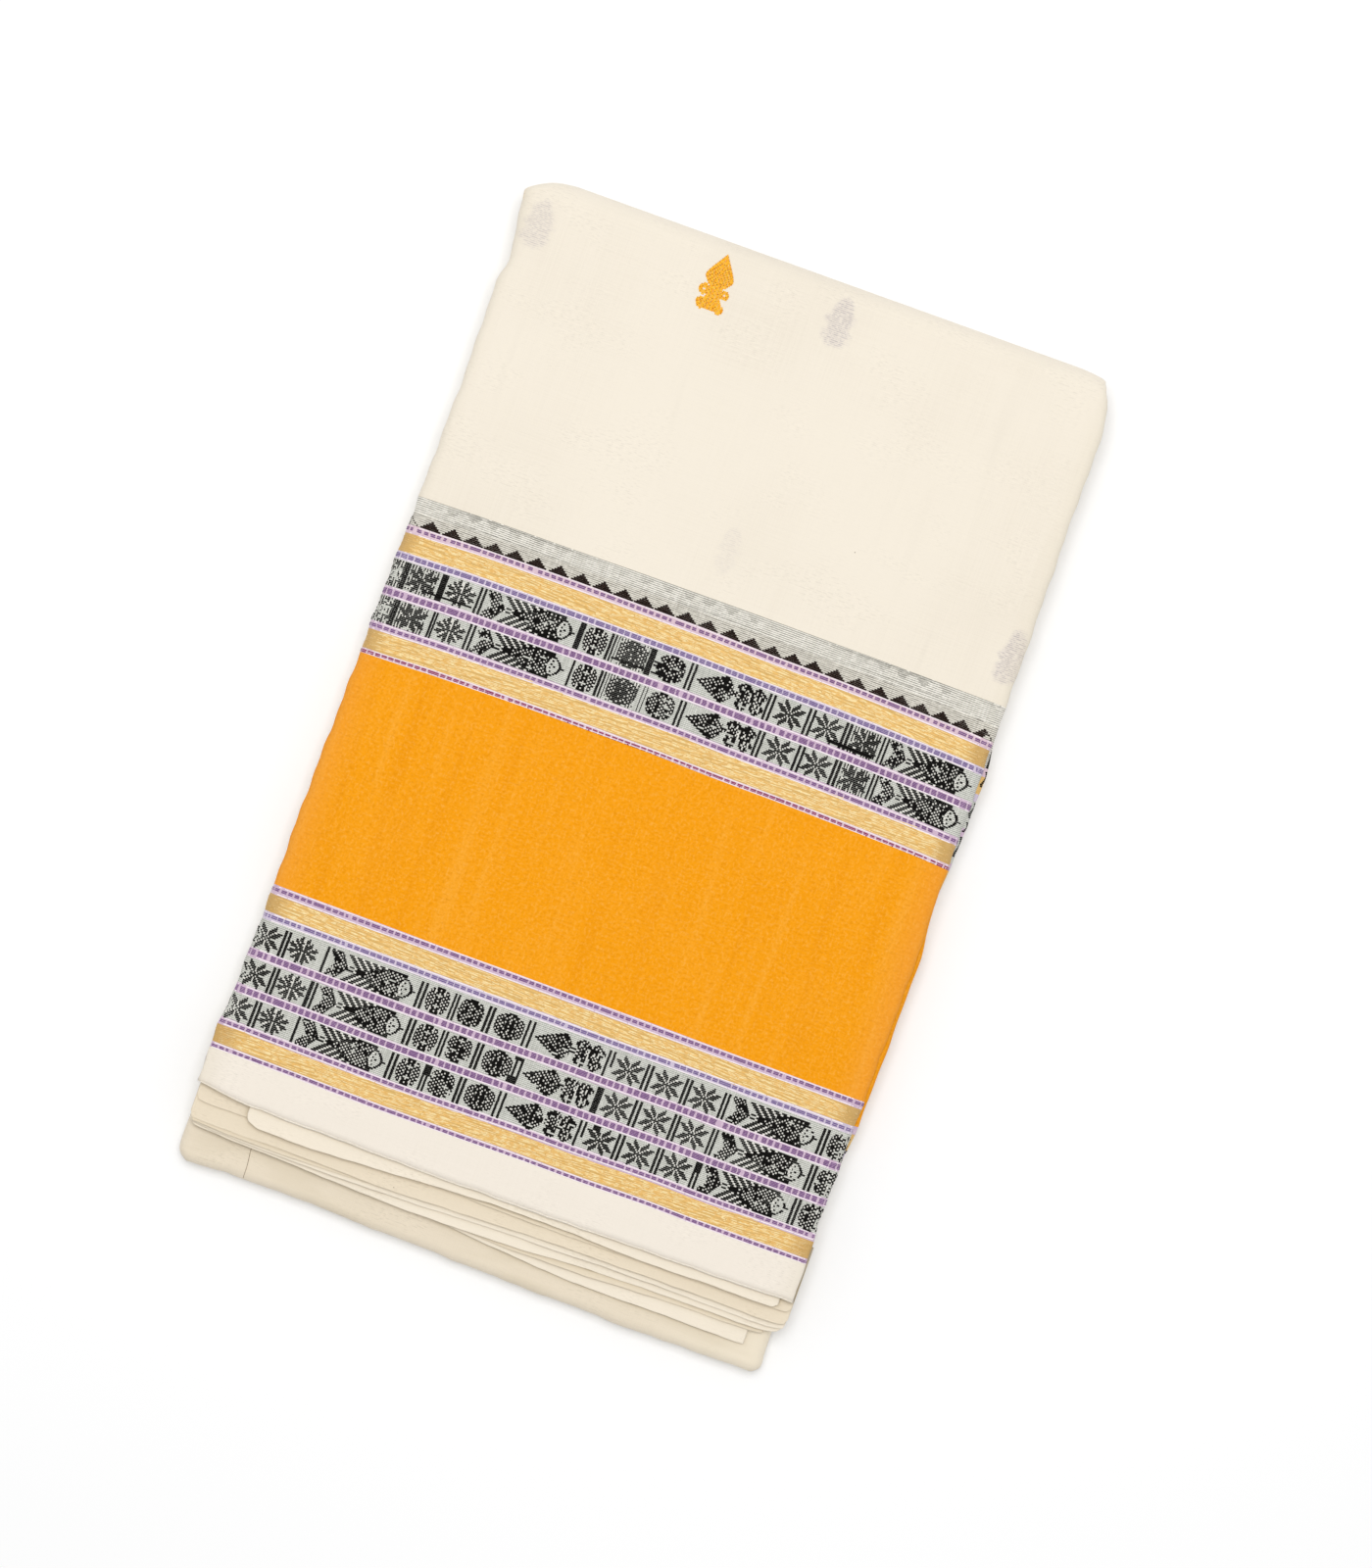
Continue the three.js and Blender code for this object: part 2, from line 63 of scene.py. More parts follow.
FRONT_EDGES = np.array([
    # y,      left,   right
    [291.5, -146.0, 150.0], [289.6, -156.0, 162.0], [286.5, -163.0, 164.8], [281.0, -171.0, 167.0],
    [278.5, -172.3, 168.2], [270.0, -171.0, 170.6], [254.0, -169.0, 172.4], [240.0, -167.2, 172.2],
    [227.0, -169.4, 171.9], [163.0, -169.0, 172.6],
    [77.0, -170.2, 173.0], [-9.0, -171.6, 173.0], [-52.0, -172.2, 173.8], [-95.0, -172.9, 173.2],
    [-138.0, -172.6, 173.0], [-191.5, -174.0, 172.2], [-213.0, -175.3, 172.8], [-248.0, -174.8, 173.8],
])[::-1]
REAR_EDGES = np.array([
    [291.5, -145.0, 149.0], [289.6, -155.0, 160.8], [286.5, -162.0, 163.6], [281.0, -169.8, 165.6],
    [278.5, -170.9, 166.6], [270.0, -169.8, 168.8], [254.0, -167.9, 170.7], [240.0, -166.4, 170.6],
    [227.0, -168.2, 170.6],
    [163.0, -168.0, 171.0], [-9.0, -170.0, 171.4], [-138.0, -171.0, 171.2], [-213.0, -173.0, 170.0],
    [-256.0, -173.8, 169.0], [-280.0, -174.2, 169.4], [-285.5, -173.6, 169.9],
    [-288.5, -171.8, 169.2], [-291.0, -168.6, 166.6], [-292.5, -165.5, 163.5],
])[::-1]
FOLD_PROUD = np.array([
    # y, how far the second fold stands past the front leaf's right edge
    [268, -0.6], [92, -0.3], [76, 1.0], [66, 2.5], [40, 2.7], [15, 1.5], [-20, 0.5], [-45, 2.2], [-140, 2.2], [-158, 0.8],
    [-175, -0.4], [-212, -0.8],
])[::-1]
SELVEDGE = np.array([[-176, -241.6], [-144, -244.9], [0, -247.1], [85, -246.5], [176, -246.0]])
TURN_EDGE = np.array([[-170, -286.7], [-134, -286.2], [-80, -287.1], [-26, -288.4], [27, -290.4],
                      [81, -291.1], [135, -291.6], [170, -291.6]])


def look(table, key, column=1):
    """Value of a table's column at a key, joined by a smooth curve."""
    x, y = table[:, 0], table[:, column]
    k = np.clip(np.asarray(key, float), x[0], x[-1])
    i = np.clip(np.searchsorted(x, k, side="right") - 1, 0, len(x) - 2)
    lo, hi = np.maximum(np.arange(len(x)) - 1, 0), np.minimum(np.arange(len(x)) + 1, len(x) - 1)
    m = (y[hi] - y[lo]) / (x[hi] - x[lo])
    h = x[i + 1] - x[i]
    t = (k - x[i]) / h
    return ((2 * t**3 - 3 * t**2 + 1) * y[i] + (t**3 - 2 * t**2 + t) * h * m[i]
            + (-2 * t**3 + 3 * t**2) * y[i + 1] + (t**3 - t**2) * h * m[i + 1])


def ease(v):
    t = np.clip(v, 0, 1)
    return t * t * (3 - 2 * t)


def rad(d):
    return np.deg2rad(d)


def ragged(s, seed, size=1.0):
    """Small unevenness along an edge, mm."""
    out = 0.0
    for k, (wave, high) in enumerate(((13.0, 0.34), (6.7, 0.24), (3.9, 0.20), (2.5, 0.14), (1.6, 0.09))):
        out = out + high * np.sin(s / wave + seed * (2.1 + k) + 0.8 * np.sin(s / (wave * 2.7) + k))
    return out * size


def swell(x, y):
    return (1 + FRONT_RISE * ease((y + 245) / 420)
            + 0.02 * np.sin(x / 47 + 0.6) * ease((y + 200) / 120)
            + 0.012 * np.sin(y / 38 + x / 90))


# ------------------------------------------------------------------ creases and unevenness of the cloth
# soft folds placed on the front leaf: middle x, y, direction, length, width, height (mm)
CREASES = [
    # x,     y,    deg, long, wide, high
    (-88.0, 214.0, 78.0, 120.0, 7.0, 0.22),
    (64.0, 168.0, 96.0, 170.0, 9.0, -0.20),
    (150.0, 200.0, 84.0, 150.0, 6.0, 0.26),
    (-148.0, 236.0, 62.0, 60.0, 6.0, 0.42),
    (-30.0, 246.0, 12.0, 120.0, 7.0, -0.16),
    (10.0, -52.0, 88.0, 120.0, 10.0, 0.18),
    (-72.0, -66.0, 93.0, 130.0, 8.0, 0.20),
    (112.0, -84.0, 86.0, 90.0, 9.0, -0.22),
    (-140.0, -40.0, 80.0, 110.0, 9.0, -0.24),
    (96.0, 262.0, 170.0, 90.0, 6.0, 0.14),
    (-104.0, -232.0, 4.0, 110.0, 5.0, 0.28),
    (70.0, -233.0, 176.0, 150.0, 6.0, 0.26),
    (152.0, -226.0, 150.0, 50.0, 6.0, 0.30),
    (-160.0, -222.0, 60.0, 46.0, 6.0, -0.30),
]


def creased(x, y):
    """Height of the front leaf's creases and fine cockle at a place, mm."""
    h = 0.10 * np.sin(x / 23.0 + 1.3 * np.sin(y / 61.0)) * np.sin(y / 31.0 + 0.7)
    h += 0.05 * np.sin(x / 9.7 + y / 26.0) * np.sin(y / 13.1 - x / 41.0)
    for cx, cy, deg, long, wide, high in CREASES:
        a = math.radians(deg)
        s = (x - cx) * math.cos(a) + (y - cy) * math.sin(a)
        t = -(x - cx) * math.sin(a) + (y - cy) * math.cos(a)
        t = t + 3.0 * np.sin(s / 37.0 + cx)
        h += high * np.exp(-(t / wide) ** 2) * ease(1.25 - np.abs(s) / (long / 2))
    # the woven bands draw the cloth in a little, so it lies slightly proud between them
    h += 0.12 * np.exp(-((y + 68) / 60.0) ** 2)
    return h


def side_fold(y, side):
    full = ease((y - (FRONT_END_Y + 2)) / 26)
    turn = ease((y - (FRONT_END_Y + 28)) / 20)
    tall = 5.3 if side == "left" else 3.4
    return (3 + full * (4.0 if side == "left" else 3.0), 1.2 + full * (tall - 1.2),
            88 + turn * (60 if side == "left" else 12))


Y_FLAT = TOP_Y - TOP_ROLL                    # where the flat ends and the top fold begins
ROLL_LEN = 20.7                              # length of cloth in a quarter of the top fold


def front_point(p, q):
    """Place of a point of the front leaf. p runs across the cloth, q along it: q is y on the
    flat, then the length round the top fold, down to the underside."""
    p, q = np.broadcast_arrays(np.asarray(p, float), np.asarray(q, float))
    roll = np.clip((q - Y_FLAT) / ROLL_LEN * 90, 0, 180)
    under = np.maximum(q - Y_FLAT - 2 * ROLL_LEN, 0)
    y = np.where(q <= Y_FLAT, q, Y_FLAT + TOP_ROLL * np.sin(rad(roll)) - under)
    lift = np.cos(rad(roll))
    left, right = look(FRONT_EDGES, y, 1), look(FRONT_EDGES, y, 2)
    rl, hl, tl = side_fold(y, "left")
    rr, hr, tr = side_fold(y, "right")
    rear = roll > 90
    uneven = ease((Y_FLAT + 6 - q) / 12)
    left = left + 0.50 * uneven * (0.55 * np.sin(y / 2.9 + 1.0) + 0.5 * np.sin(y / 6.3) + 0.3 * np.sin(y / 15.1 + 2.0))
    right = right + 0.42 * uneven * (0.6 * np.sin(y / 3.1) + 0.5 * np.sin(y / 7.1 + 1.0) + 0.2 * np.sin(y / 17.0))
    left = np.where(rear, look(REAR_EDGES, y, 1) - 0.2, left)
    right = np.where(rear, look(REAR_EDGES, y, 2) + 0.2, right)
    rl = np.where(rear, 6.0, rl)
    rr = np.where(rear, 6.0, rr)
    tl = 88 + (tl - 88) * np.maximum(lift, 0)
    tr = 88 + (tr - 88) * np.maximum(lift, 0)
    # distance beyond the flat part, as an angle round the side fold
    arc_l, arc_r = (rl + hl) / 2, (rr + hr) / 2
    dl, dr = (left + rl) - p, p - (right - rr)
    thl = np.minimum(np.degrees(np.maximum(dl, 0) / arc_l), tl)
    thr = np.minimum(np.degrees(np.maximum(dr, 0) / arc_r), tr)
    x = np.clip(p, left + rl, right - rr)
    x = np.where(dl > 0, left + rl - rl * np.sin(rad(thl)), x)
    x = np.where(dr > 0, right - rr + rr * np.sin(rad(thr)), x)
    h = np.full_like(p, FRONT_H)
    h = np.where(dl > 0, FRONT_H - hl * (1 - np.cos(rad(thl))), h)
    h = np.where(dr > 0, FRONT_H - hr * (1 - np.cos(rad(thr))), h)
    z_front = HALF_Z + GAP / 2 + (h - GAP / 2) * swell(x, y) * lift
    th = np.maximum(thl, thr)
    fade = np.cos(rad(np.minimum(th, 90))) * ease((Y_FLAT + 10 - q) / 14)
    z_front = z_front + creased(x, y) * fade
    up = HALF_Z - GAP / 2
    side = (REAR_EQUATOR - GAP) * (1 - np.cos(rad(np.minimum(th, 90))))
    z_rear = up - (up - side) * np.abs(lift)
    z = np.where(rear, z_rear, z_front)
    return np.stack([x, y, z], -1)


def normals_of(point, p, q):
    e = 0.25
    du = point(p + e, q) - point(p - e, q)
    dv = point(p, q + e) - point(p, q - e)
    n = np.cross(du, dv)
    return n / np.maximum(np.linalg.norm(n, axis=-1, keepdims=True), 1e-9)


# how the woven lines bow, by place across the cloth: in the upper border and in the lower one
BOW_UP = np.array([[-345, 2.8], [-322, 2.2], [-288, 1.2], [-240, -0.8], [-144, -2.4], [-48, -2.9], [0, -2.9],
                   [72, -1.9], [144, -1.6], [192, -0.8], [240, 0.3], [288, 1.8], [322, 3.6], [345, 4.6]])
BOW_LOW = np.array([[-345, -0.8], [-322, -0.6], [-240, 0.1], [-192, 0.9], [-144, 1.6], [-72, 1.1], [0, 0.2],
                    [72, 0.2], [144, -0.8], [192, 0.0], [240, 0.0], [322, -0.4], [345, -0.5]])


def between(w_left, w_right):
    """Level of a woven line at u, from its levels at the two sides (layout steps, down the cloth)."""
    mid = (w_left + w_right) / 2
    up = float(ease(np.array((120 - mid) / 140)))
    low = float(ease(np.array((mid - 230) / 150)))
    if mid < -180:
        up = 0.5

    def at(u):
        u = np.asarray(u, float)
        t = np.clip((u + 322) / 644.0, -0.1, 1.1)
        return (w_left + (w_right - w_left) * t + up * look(BOW_UP, u) + low * look(BOW_LOW, u)
                + 0.25 * np.sin(u / 61.0 + mid) + 0.12 * np.sin(u / 23.0 + 2 * mid))
    return at


def line_y(w_left, w_right):
    """The same line as a place on the cloth, mm."""
    level = between(w_left, w_right)

    def at(p):
        return -(level(np.asarray(p, float) / PX - 2) + 1) * PX
    return at


def at_u(u):
    return (u + 2) * PX


# ------------------------------------------------------------------ meshes
def make_object(name, points, faces, slots=None, slot_of_face=None, uvs=None, smooth=True):
    """points in mm in the tables' frame."""
    me = bpy.data.meshes.new(name)
    co = (np.asarray(points, float) + SHIFT) / 1000.0
    me.from_pydata(co.tolist(), [], [list(map(int, f)) for f in faces])
    me.validate(clean_customdata=False)
    if slots:
        for m in slots:
            me.materials.append(m)
    if slot_of_face is not None:
        me.polygons.foreach_set("material_index", np.asarray(slot_of_face, np.int32))
    if uvs:
        loops = np.empty(len(me.loops), np.int32)
        me.loops.foreach_get("vertex_index", loops)
        for map_name, values in uvs.items():
            layer = me.uv_layers.new(name=map_name)
            layer.data.foreach_set("uv", np.asarray(values, np.float32)[loops].ravel())
    me.polygons.foreach_set("use_smooth", np.full(len(me.polygons), smooth, bool))
    me.update()
    ob = bpy.data.objects.new(name, me)
    bpy.context.scene.collection.objects.link(ob)
    return ob


def shell(name, P, N, slots, row_slots=None, flat=None, thick=CLOTH, shade=None):
    """A closed leaf of cloth from a grid of outer points and normals (rows, cols, 3)."""
    rows, cols = P.shape[:2]
    outer = P.reshape(-1, 3)
    inner = (P - N * thick).reshape(-1, 3)
    pts = np.concatenate([outer, inner])
    n = rows * cols
    i, j = np.meshgrid(np.arange(rows - 1), np.arange(cols - 1), indexing="ij")
    a, b, c, d = (i * cols + j).ravel(), (i * cols + j + 1).ravel(), ((i + 1) * cols + j + 1).ravel(), ((i + 1) * cols + j).ravel()
    top = np.stack([a, b, c, d], 1)
    low = np.stack([a + n, d + n, c + n, b + n], 1)
    rim = []
    rim_slot = []
    row_slots = np.zeros(rows - 1, int) if row_slots is None else np.asarray(row_slots)
    for jj in range(cols - 1):
        rim.append([jj + 1, jj, jj + n, jj + 1 + n]); rim_slot.append(row_slots[0])
        k = (rows - 1) * cols + jj
        rim.append([k, k + 1, k + 1 + n, k + n]); rim_slot.append(row_slots[-1])
    for ii in range(rows - 1):
        rim.append([ii * cols, (ii + 1) * cols, (ii + 1) * cols + n, ii * cols + n]); rim_slot.append(row_slots[ii])
        k = ii * cols + cols - 1
        rim.append([k + cols, k, k + n, k + cols + n]); rim_slot.append(row_slots[ii])
    faces = np.concatenate([top, low, np.array(rim)])
    per_face = np.concatenate([row_slots[i.ravel()], row_slots[i.ravel()], np.array(rim_slot)])
    U, V = flat
    uu = np.concatenate([U.ravel(), U.ravel()]) / 1000.0
    vv = np.concatenate([V.ravel(), V.ravel()]) / 1000.0
    cloth = np.stack([uu, vv], 1)
    # the bake's map: the showing side fills the square, the inner side keeps to a strip of it
    u01 = (U - U.min()) / (U.max() - U.min())
    v01 = (V - V.min()) / (V.max() - V.min())
    bake_outer = np.stack([0.004 + 0.94 * u01.ravel(), 0.004 + 0.992 * v01.ravel()], 1)
    bake_inner = np.stack([0.952 + 0.044 * u01.ravel(), 0.004 + 0.992 * v01.ravel()], 1)
    maps = {"OFBake": np.concatenate([bake_outer, bake_inner]), "Cloth": cloth}
    if shade is not None:                     # strength of the painted contact shadow beside the edge of the leaf above
        maps["Shade"] = np.stack([np.concatenate([shade.ravel(), 0 * shade.ravel()]), np.zeros(2 * n)], 1)
    ob = make_object(name, pts, faces, slots, per_face, maps)
    return ob


def grid_shell(name, point, lines_q, ps, slots, row_slots=None, thick=CLOTH):
    """lines_q: for each row, the q of that row at every p. ps: the columns' p (rows, cols or cols)."""
    Q = np.stack([np.broadcast_to(q, np.shape(ps)[-1:]) for q in lines_q])
    Pp = np.broadcast_to(ps, Q.shape) if np.ndim(ps) == 1 else ps
    P = point(Pp, Q)
    N = normals_of(point, Pp, Q)
    return shell(name, P, N, slots, row_slots, (Pp, Q), thick)


class Floats:
    """Thread floats that lie on a leaf: short ridges along p (or along q), joined in one mesh."""

    def __init__(self, point):
        self.point = point
        self.p, self.q, self.off, self.faces = [], [], [], []
        self.count = 0

    def run(self, p0, p1, q_at, wide, high=0.20, step=6.0, low=0.03, taper=0.35, along="p", soft=0.22):
        """A ridge from p0 to p1 whose middle line is q_at(p). along='q' swaps the two ways."""
        length = p1 - p0
        ends = min(soft, 0.3 * length)
        inner = max(1, int(math.ceil((length - 2 * ends) / step)))
        s = np.concatenate([[p0], np.linspace(p0 + ends, p1 - ends, inner + 1), [p1]])
        k = np.concatenate([[taper], np.ones(inner + 1), [taper]])
        mid = np.asarray(q_at(s), float) * np.ones_like(s)
        for f, g in ((-0.5, 0.0), (-0.36, 1.0), (0.36, 1.0), (0.5, 0.0)):
            across = mid + f * wide * (0.55 + 0.45 * k)
            a, b = (s, across) if along == "p" else (across, s)
            self.p.append(a); self.q.append(b)
            self.off.append(low + g * high * k if g else np.full_like(s, -0.05))
        n = len(s)
        base = self.count
        idx = base + np.arange(n)
        rows = [idx, idx + n, idx + 2 * n, idx + 3 * n]
        flip = along == "q"
        for r0, r1 in zip(rows[:-1], rows[1:]):
            f = np.stack([r0[:-1], r0[1:], r1[1:], r1[:-1]], 1)
            self.faces.append(f[:, ::-1] if flip else f)
        caps = np.array([[rows[0][0], rows[1][0], rows[2][0], rows[3][0]],
                         [rows[3][-1], rows[2][-1], rows[1][-1], rows[0][-1]]])
        under = np.stack([rows[0][:-1], rows[3][:-1], rows[3][1:], rows[0][1:]], 1)
        for f in (caps, under):
            self.faces.append(f[:, ::-1] if flip else f)
        self.count += 4 * n

    def build(self, name, material, smooth=True):
        p, q, off = map(np.concatenate, (self.p, self.q, self.off))
        P = self.point(p, q) + normals_of(self.point, p, q) * off[:, None]
        ob = make_object(name, P, np.concatenate(self.faces), [material], None,
                         {"OFBake": np.stack([(p - p.min()) / max(np.ptp(p), 1e-6), (q - q.min()) / max(np.ptp(q), 1e-6)], 1),
                          "Cloth": np.stack([p, q], 1) / 1000.0}, smooth)
        return ob


# ------------------------------------------------------------------ materials
def srgb(r, g, b):
    def one(c):
        c = c / 255.0
        return c / 12.92 if c <= 0.04045 else ((c + 0.055) / 1.055) ** 2.4
    return (one(r), one(g), one(b), 1.0)


class Nodes:
    def __init__(self, name):
        self.mat = bpy.data.materials.new(name)
        self.mat.use_nodes = True
        self.t = self.mat.node_tree
        self.t.nodes.clear()
        self.out = self.t.nodes.new("ShaderNodeOutputMaterial")
        self.bsdf = self.t.nodes.new("ShaderNodeBsdfPrincipled")
        self.t.links.new(self.bsdf.outputs[0], self.out.inputs[0])
        uv = self.t.nodes.new("ShaderNodeUVMap"); uv.uv_map = "Cloth"
        sep = self.t.nodes.new("ShaderNodeSeparateXYZ")
        self.t.links.new(uv.outputs[0], sep.inputs[0])
        self.uv, self.u, self.v = uv.outputs[0], sep.outputs[0], sep.outputs[1]

    def put(self, sock, value):
        if isinstance(value, bpy.types.NodeSocket):
            self.t.links.new(value, sock)
        else:
            sock.default_value = value

    def math(self, op, a, b=0.0, c=0.0, clamp=False):
        n = self.t.nodes.new("ShaderNodeMath"); n.operation = op; n.use_clamp = clamp
        self.put(n.inputs[0], a); self.put(n.inputs[1], b); self.put(n.inputs[2], c)
        return n.outputs[0]

    def mix(self, f, a, b, mode="MIX"):
        n = self.t.nodes.new("ShaderNodeMix"); n.data_type = "RGBA"; n.blend_type = mode
        self.put(n.inputs[0], f); self.put(n.inputs[6], a); self.put(n.inputs[7], b)
        return n.outputs[2]

    def vec(self, x, y, z=0.0):
        n = self.t.nodes.new("ShaderNodeCombineXYZ")
        self.put(n.inputs[0], x); self.put(n.inputs[1], y); self.put(n.inputs[2], z)
        return n.outputs[0]

    def noise(self, scale_u, scale_v, detail=2.0, rough=0.55, seed=0.0):
        """Noise stretched along the threads; the scales are in cycles a metre."""
        v = self.vec(self.math("MULTIPLY", self.u, scale_u), self.math("MULTIPLY", self.v, scale_v), seed)
        n = self.t.nodes.new("ShaderNodeTexNoise")
        n.inputs["Scale"].default_value = 1.0
        n.inputs["Detail"].default_value = detail
        n.inputs["Roughness"].default_value = rough
        self.t.links.new(v, n.inputs["Vector"])
        return n.outputs[0]

    def ramp(self, value, lo, hi):
        n = self.t.nodes.new("ShaderNodeMapRange"); n.clamp = True
        n.interpolation_type = "SMOOTHSTEP"
        self.put(n.inputs[0], value); n.inputs[1].default_value = lo; n.inputs[2].default_value = hi
        return n.outputs[0]

    def lines(self, coord, pitch_mm, share, phase=0.0, soft=0.12):
        """1 on thin lines that repeat across coord, 0 between them."""
        x = self.math("FRACT", self.math("ADD", self.math("MULTIPLY", coord, 1000.0 / pitch_mm), phase))
        d = self.math("ABSOLUTE", self.math("SUBTRACT", x, 0.5))
        return self.ramp(d, share / 2 + soft, max(share / 2 - soft, 0.001)) if False else self.math(
            "SUBTRACT", 1.0, self.ramp(d, max(share / 2 - soft, 0.0), share / 2 + soft))

    def spots(self, scale, radius, keep, seed=0.0):
        """Rare small round flecks."""
        v = self.vec(self.math("MULTIPLY", self.u, scale), self.math("MULTIPLY", self.v, scale), seed)
        n = self.t.nodes.new("ShaderNodeTexVoronoi")
        n.inputs["Scale"].default_value = 1.0
        self.t.links.new(v, n.inputs["Vector"])
        near = self.math("LESS_THAN", n.outputs["Distance"], radius)
        sep = self.t.nodes.new("ShaderNodeSeparateColor")
        self.t.links.new(n.outputs["Color"], sep.inputs[0])
        rare = self.math("GREATER_THAN", sep.outputs[0], 1 - keep)
        return self.math("MULTIPLY", near, rare)

    def weave_bump(self, pitch_mm=0.42, depth=0.00007, slub=0.00005, strength=0.7):
        """Plain weave: threads over and under, with thicker slubs both ways."""
        k = 2 * math.pi * 1000.0 / pitch_mm
        a = self.math("SINE", self.math("MULTIPLY", self.u, k))
        b = self.math("SINE", self.math("MULTIPLY", self.v, k))
        weave = self.math("MULTIPLY", a, b)
        along = self.noise(900, 26, 2, 0.6, 3.1)
        across = self.noise(26, 900, 2, 0.6, 8.7)
        h = self.math("ADD", self.math("MULTIPLY", weave, depth * 1000),
                      self.math("MULTIPLY", self.math("ADD", along, across), slub * 1000))
        bump = self.t.nodes.new("ShaderNodeBump")
        bump.inputs["Strength"].default_value = strength
        bump.inputs["Distance"].default_value = 0.001
        self.t.links.new(h, bump.inputs["Height"])
        self.t.links.new(bump.outputs[0], self.bsdf.inputs["Normal"])
        return h

    def finish(self, colour, rough=0.85, sheen=0.25, metallic=0.0, specular=0.3):
        self.put(self.bsdf.inputs["Base Color"], colour)
        self.put(self.bsdf.inputs["Roughness"], rough)
        self.bsdf.inputs["Sheen Weight"].default_value = sheen
        self.bsdf.inputs["Sheen Roughness"].default_value = 0.5
        self.bsdf.inputs["Metallic"].default_value = metallic
        self.bsdf.inputs["Specular IOR Level"].default_value = specular
        return self.mat


def cloth_material(name, light, dark, streak=0.5, specks=0.0, bump=0.7, sheen=0.2, tint=None, specular=0.2, ticks=0.0):
    """Plain cotton: two-way thread streaks between two near colours, a slow tone change, seed flecks."""
    n = Nodes(name)
    warp = n.noise(1500, 14, 2, 0.6, 1.0)
    weft = n.noise(14, 1500, 2, 0.6, 5.0)
    fine = n.noise(2400, 2400, 1, 0.5, 2.0)
    tone = n.noise(11, 9, 2, 0.5, 4.0)
    f = n.math("ADD", n.math("MULTIPLY", n.math("ADD", warp, weft), 0.5 * streak),
               n.math("ADD", n.math("MULTIPLY", fine, 0.25), n.math("MULTIPLY", tone, 0.75 - 0.5 * streak)))
    colour = n.mix(n.ramp(f, 0.30, 0.70), dark, light)
    if ticks:
        # thick threads show as short ticks, in patches with smoother cloth between them
        patch = n.ramp(n.noise(22, 34, 2, 0.5, 14.0), 0.48, 0.66)
        row = n.lines(n.v, 1.07, 0.5, 0.0, 0.22)
        tick = n.math("SUBTRACT", n.noise(330, 930, 1, 0.5, 15.0), 0.5)
        up_tick = n.math("MULTIPLY", n.ramp(tick, 0.02, 0.16), row)
        dn_tick = n.math("MULTIPLY", n.ramp(n.math("MULTIPLY", tick, -1.0), 0.02, 0.16), n.math("SUBTRACT", 1.0, row))
        amount = n.math("MULTIPLY", n.math("ADD", 0.14, n.math("MULTIPLY", patch, 0.86)), ticks)
        colour = n.mix(n.math("MULTIPLY", up_tick, amount), colour, tuple(min(1.0, c * 1.08) for c in light[:3]) + (1.0,))
        colour = n.mix(n.math("MULTIPLY", dn_tick, amount), colour, tuple(c * 0.85 for c in dark[:3]) + (1.0,))
    if tint is not None:
        colour = tint(n, colour)
    if specks:
        dot = n.spots(75.0, 0.030, specks, 2.0)
        colour = n.mix(n.math("MULTIPLY", dot, 0.75), colour, srgb(120, 100, 78))
    n.weave_bump(strength=bump)
    return n.finish(colour, 0.88, sheen, specular=specular)


CREAM_L, CREAM_D = srgb(241, 232, 216), srgb(231, 221, 204)


def ghost_marks(n, colour):
    """Faint grey-lilac marks where leaf motifs of the layer below show through the thin cloth."""
    marks = [
        # u, w, half width, half height (layout steps), strength
        (27, -502, 16, 27, 0.80), (-296, -492, 17, 26, 0.55), (-1, -245, 12, 27, 0.20), (308, -240, 15, 30, 0.95),
    ]
    row = n.lines(n.v, 1.07, 0.5, 0.25, 0.2)
    thread = n.ramp(n.noise(420, 900, 2, 0.6, 12.0), 0.36, 0.60)
    wobble = n.math("MULTIPLY", n.math("SUBTRACT", n.noise(170, 170, 2, 0.5, 44.0), 0.5), 0.9)
    for u, w, hu, hw, strength in marks:
        du = n.math("MULTIPLY", n.math("SUBTRACT", n.u, at_u(u) / 1000), 1000 / (hu * PX))
        dv = n.math("MULTIPLY", n.math("SUBTRACT", n.v, -(w + 1) * PX / 1000), 1000 / (hw * PX))
        # a leaf outline: narrow towards its tip, with a waist above its foot
        wide = n.math("MULTIPLY", du, n.math("ADD", 1.0, n.math("MULTIPLY", n.math("MAXIMUM", dv, 0.0), 0.8)))
        waist = n.math("MULTIPLY", n.math("SUBTRACT", 1.0, n.ramp(n.math("ABSOLUTE", n.math("ADD", dv, 0.25)), 0.0, 0.25)), 0.25)
        r = n.math("SQRT", n.math("ADD", n.math("POWER", n.math("ABSOLUTE", wide), 2.0), n.math("POWER", n.math("ABSOLUTE", dv), 4.0)))
        inside = n.math("SUBTRACT", 1.0, n.ramp(n.math("ADD", n.math("ADD", r, wobble), waist), 0.62, 1.20))
        base = n.math("MULTIPLY", inside, 0.50 * strength)
        colour = n.mix(base, colour, srgb(222, 213, 207))
        fine = n.math("MULTIPLY", n.math("MULTIPLY", inside, row), n.math("MULTIPLY", thread, strength * 0.85))
        colour = n.mix(fine, colour, srgb(168, 158, 160))
    return colour


def side_fold_painted_shade(n, colour, amount=0.35, shade=(224, 214, 192)):
    """Painted shade: the folds at the two sides are a little darker, where the cloth turns away from the light."""
    side = n.math("ABSOLUTE", n.u)
    f = n.math("MULTIPLY", n.ramp(side, 0.158, 0.176), amount)
    return n.mix(f, colour, srgb(*shade))


def cream_tint(n, colour):
    colour = ghost_marks(n, colour)
    # a few faint weft bars and smudged streaks down the body
    smear = n.math("MULTIPLY", n.ramp(n.noise(70, 7, 3, 0.6, 21.0), 0.56, 0.80), 0.30)
    colour = n.mix(smear, colour, srgb(231, 222, 206))
    return side_fold_painted_shade(n, colour)


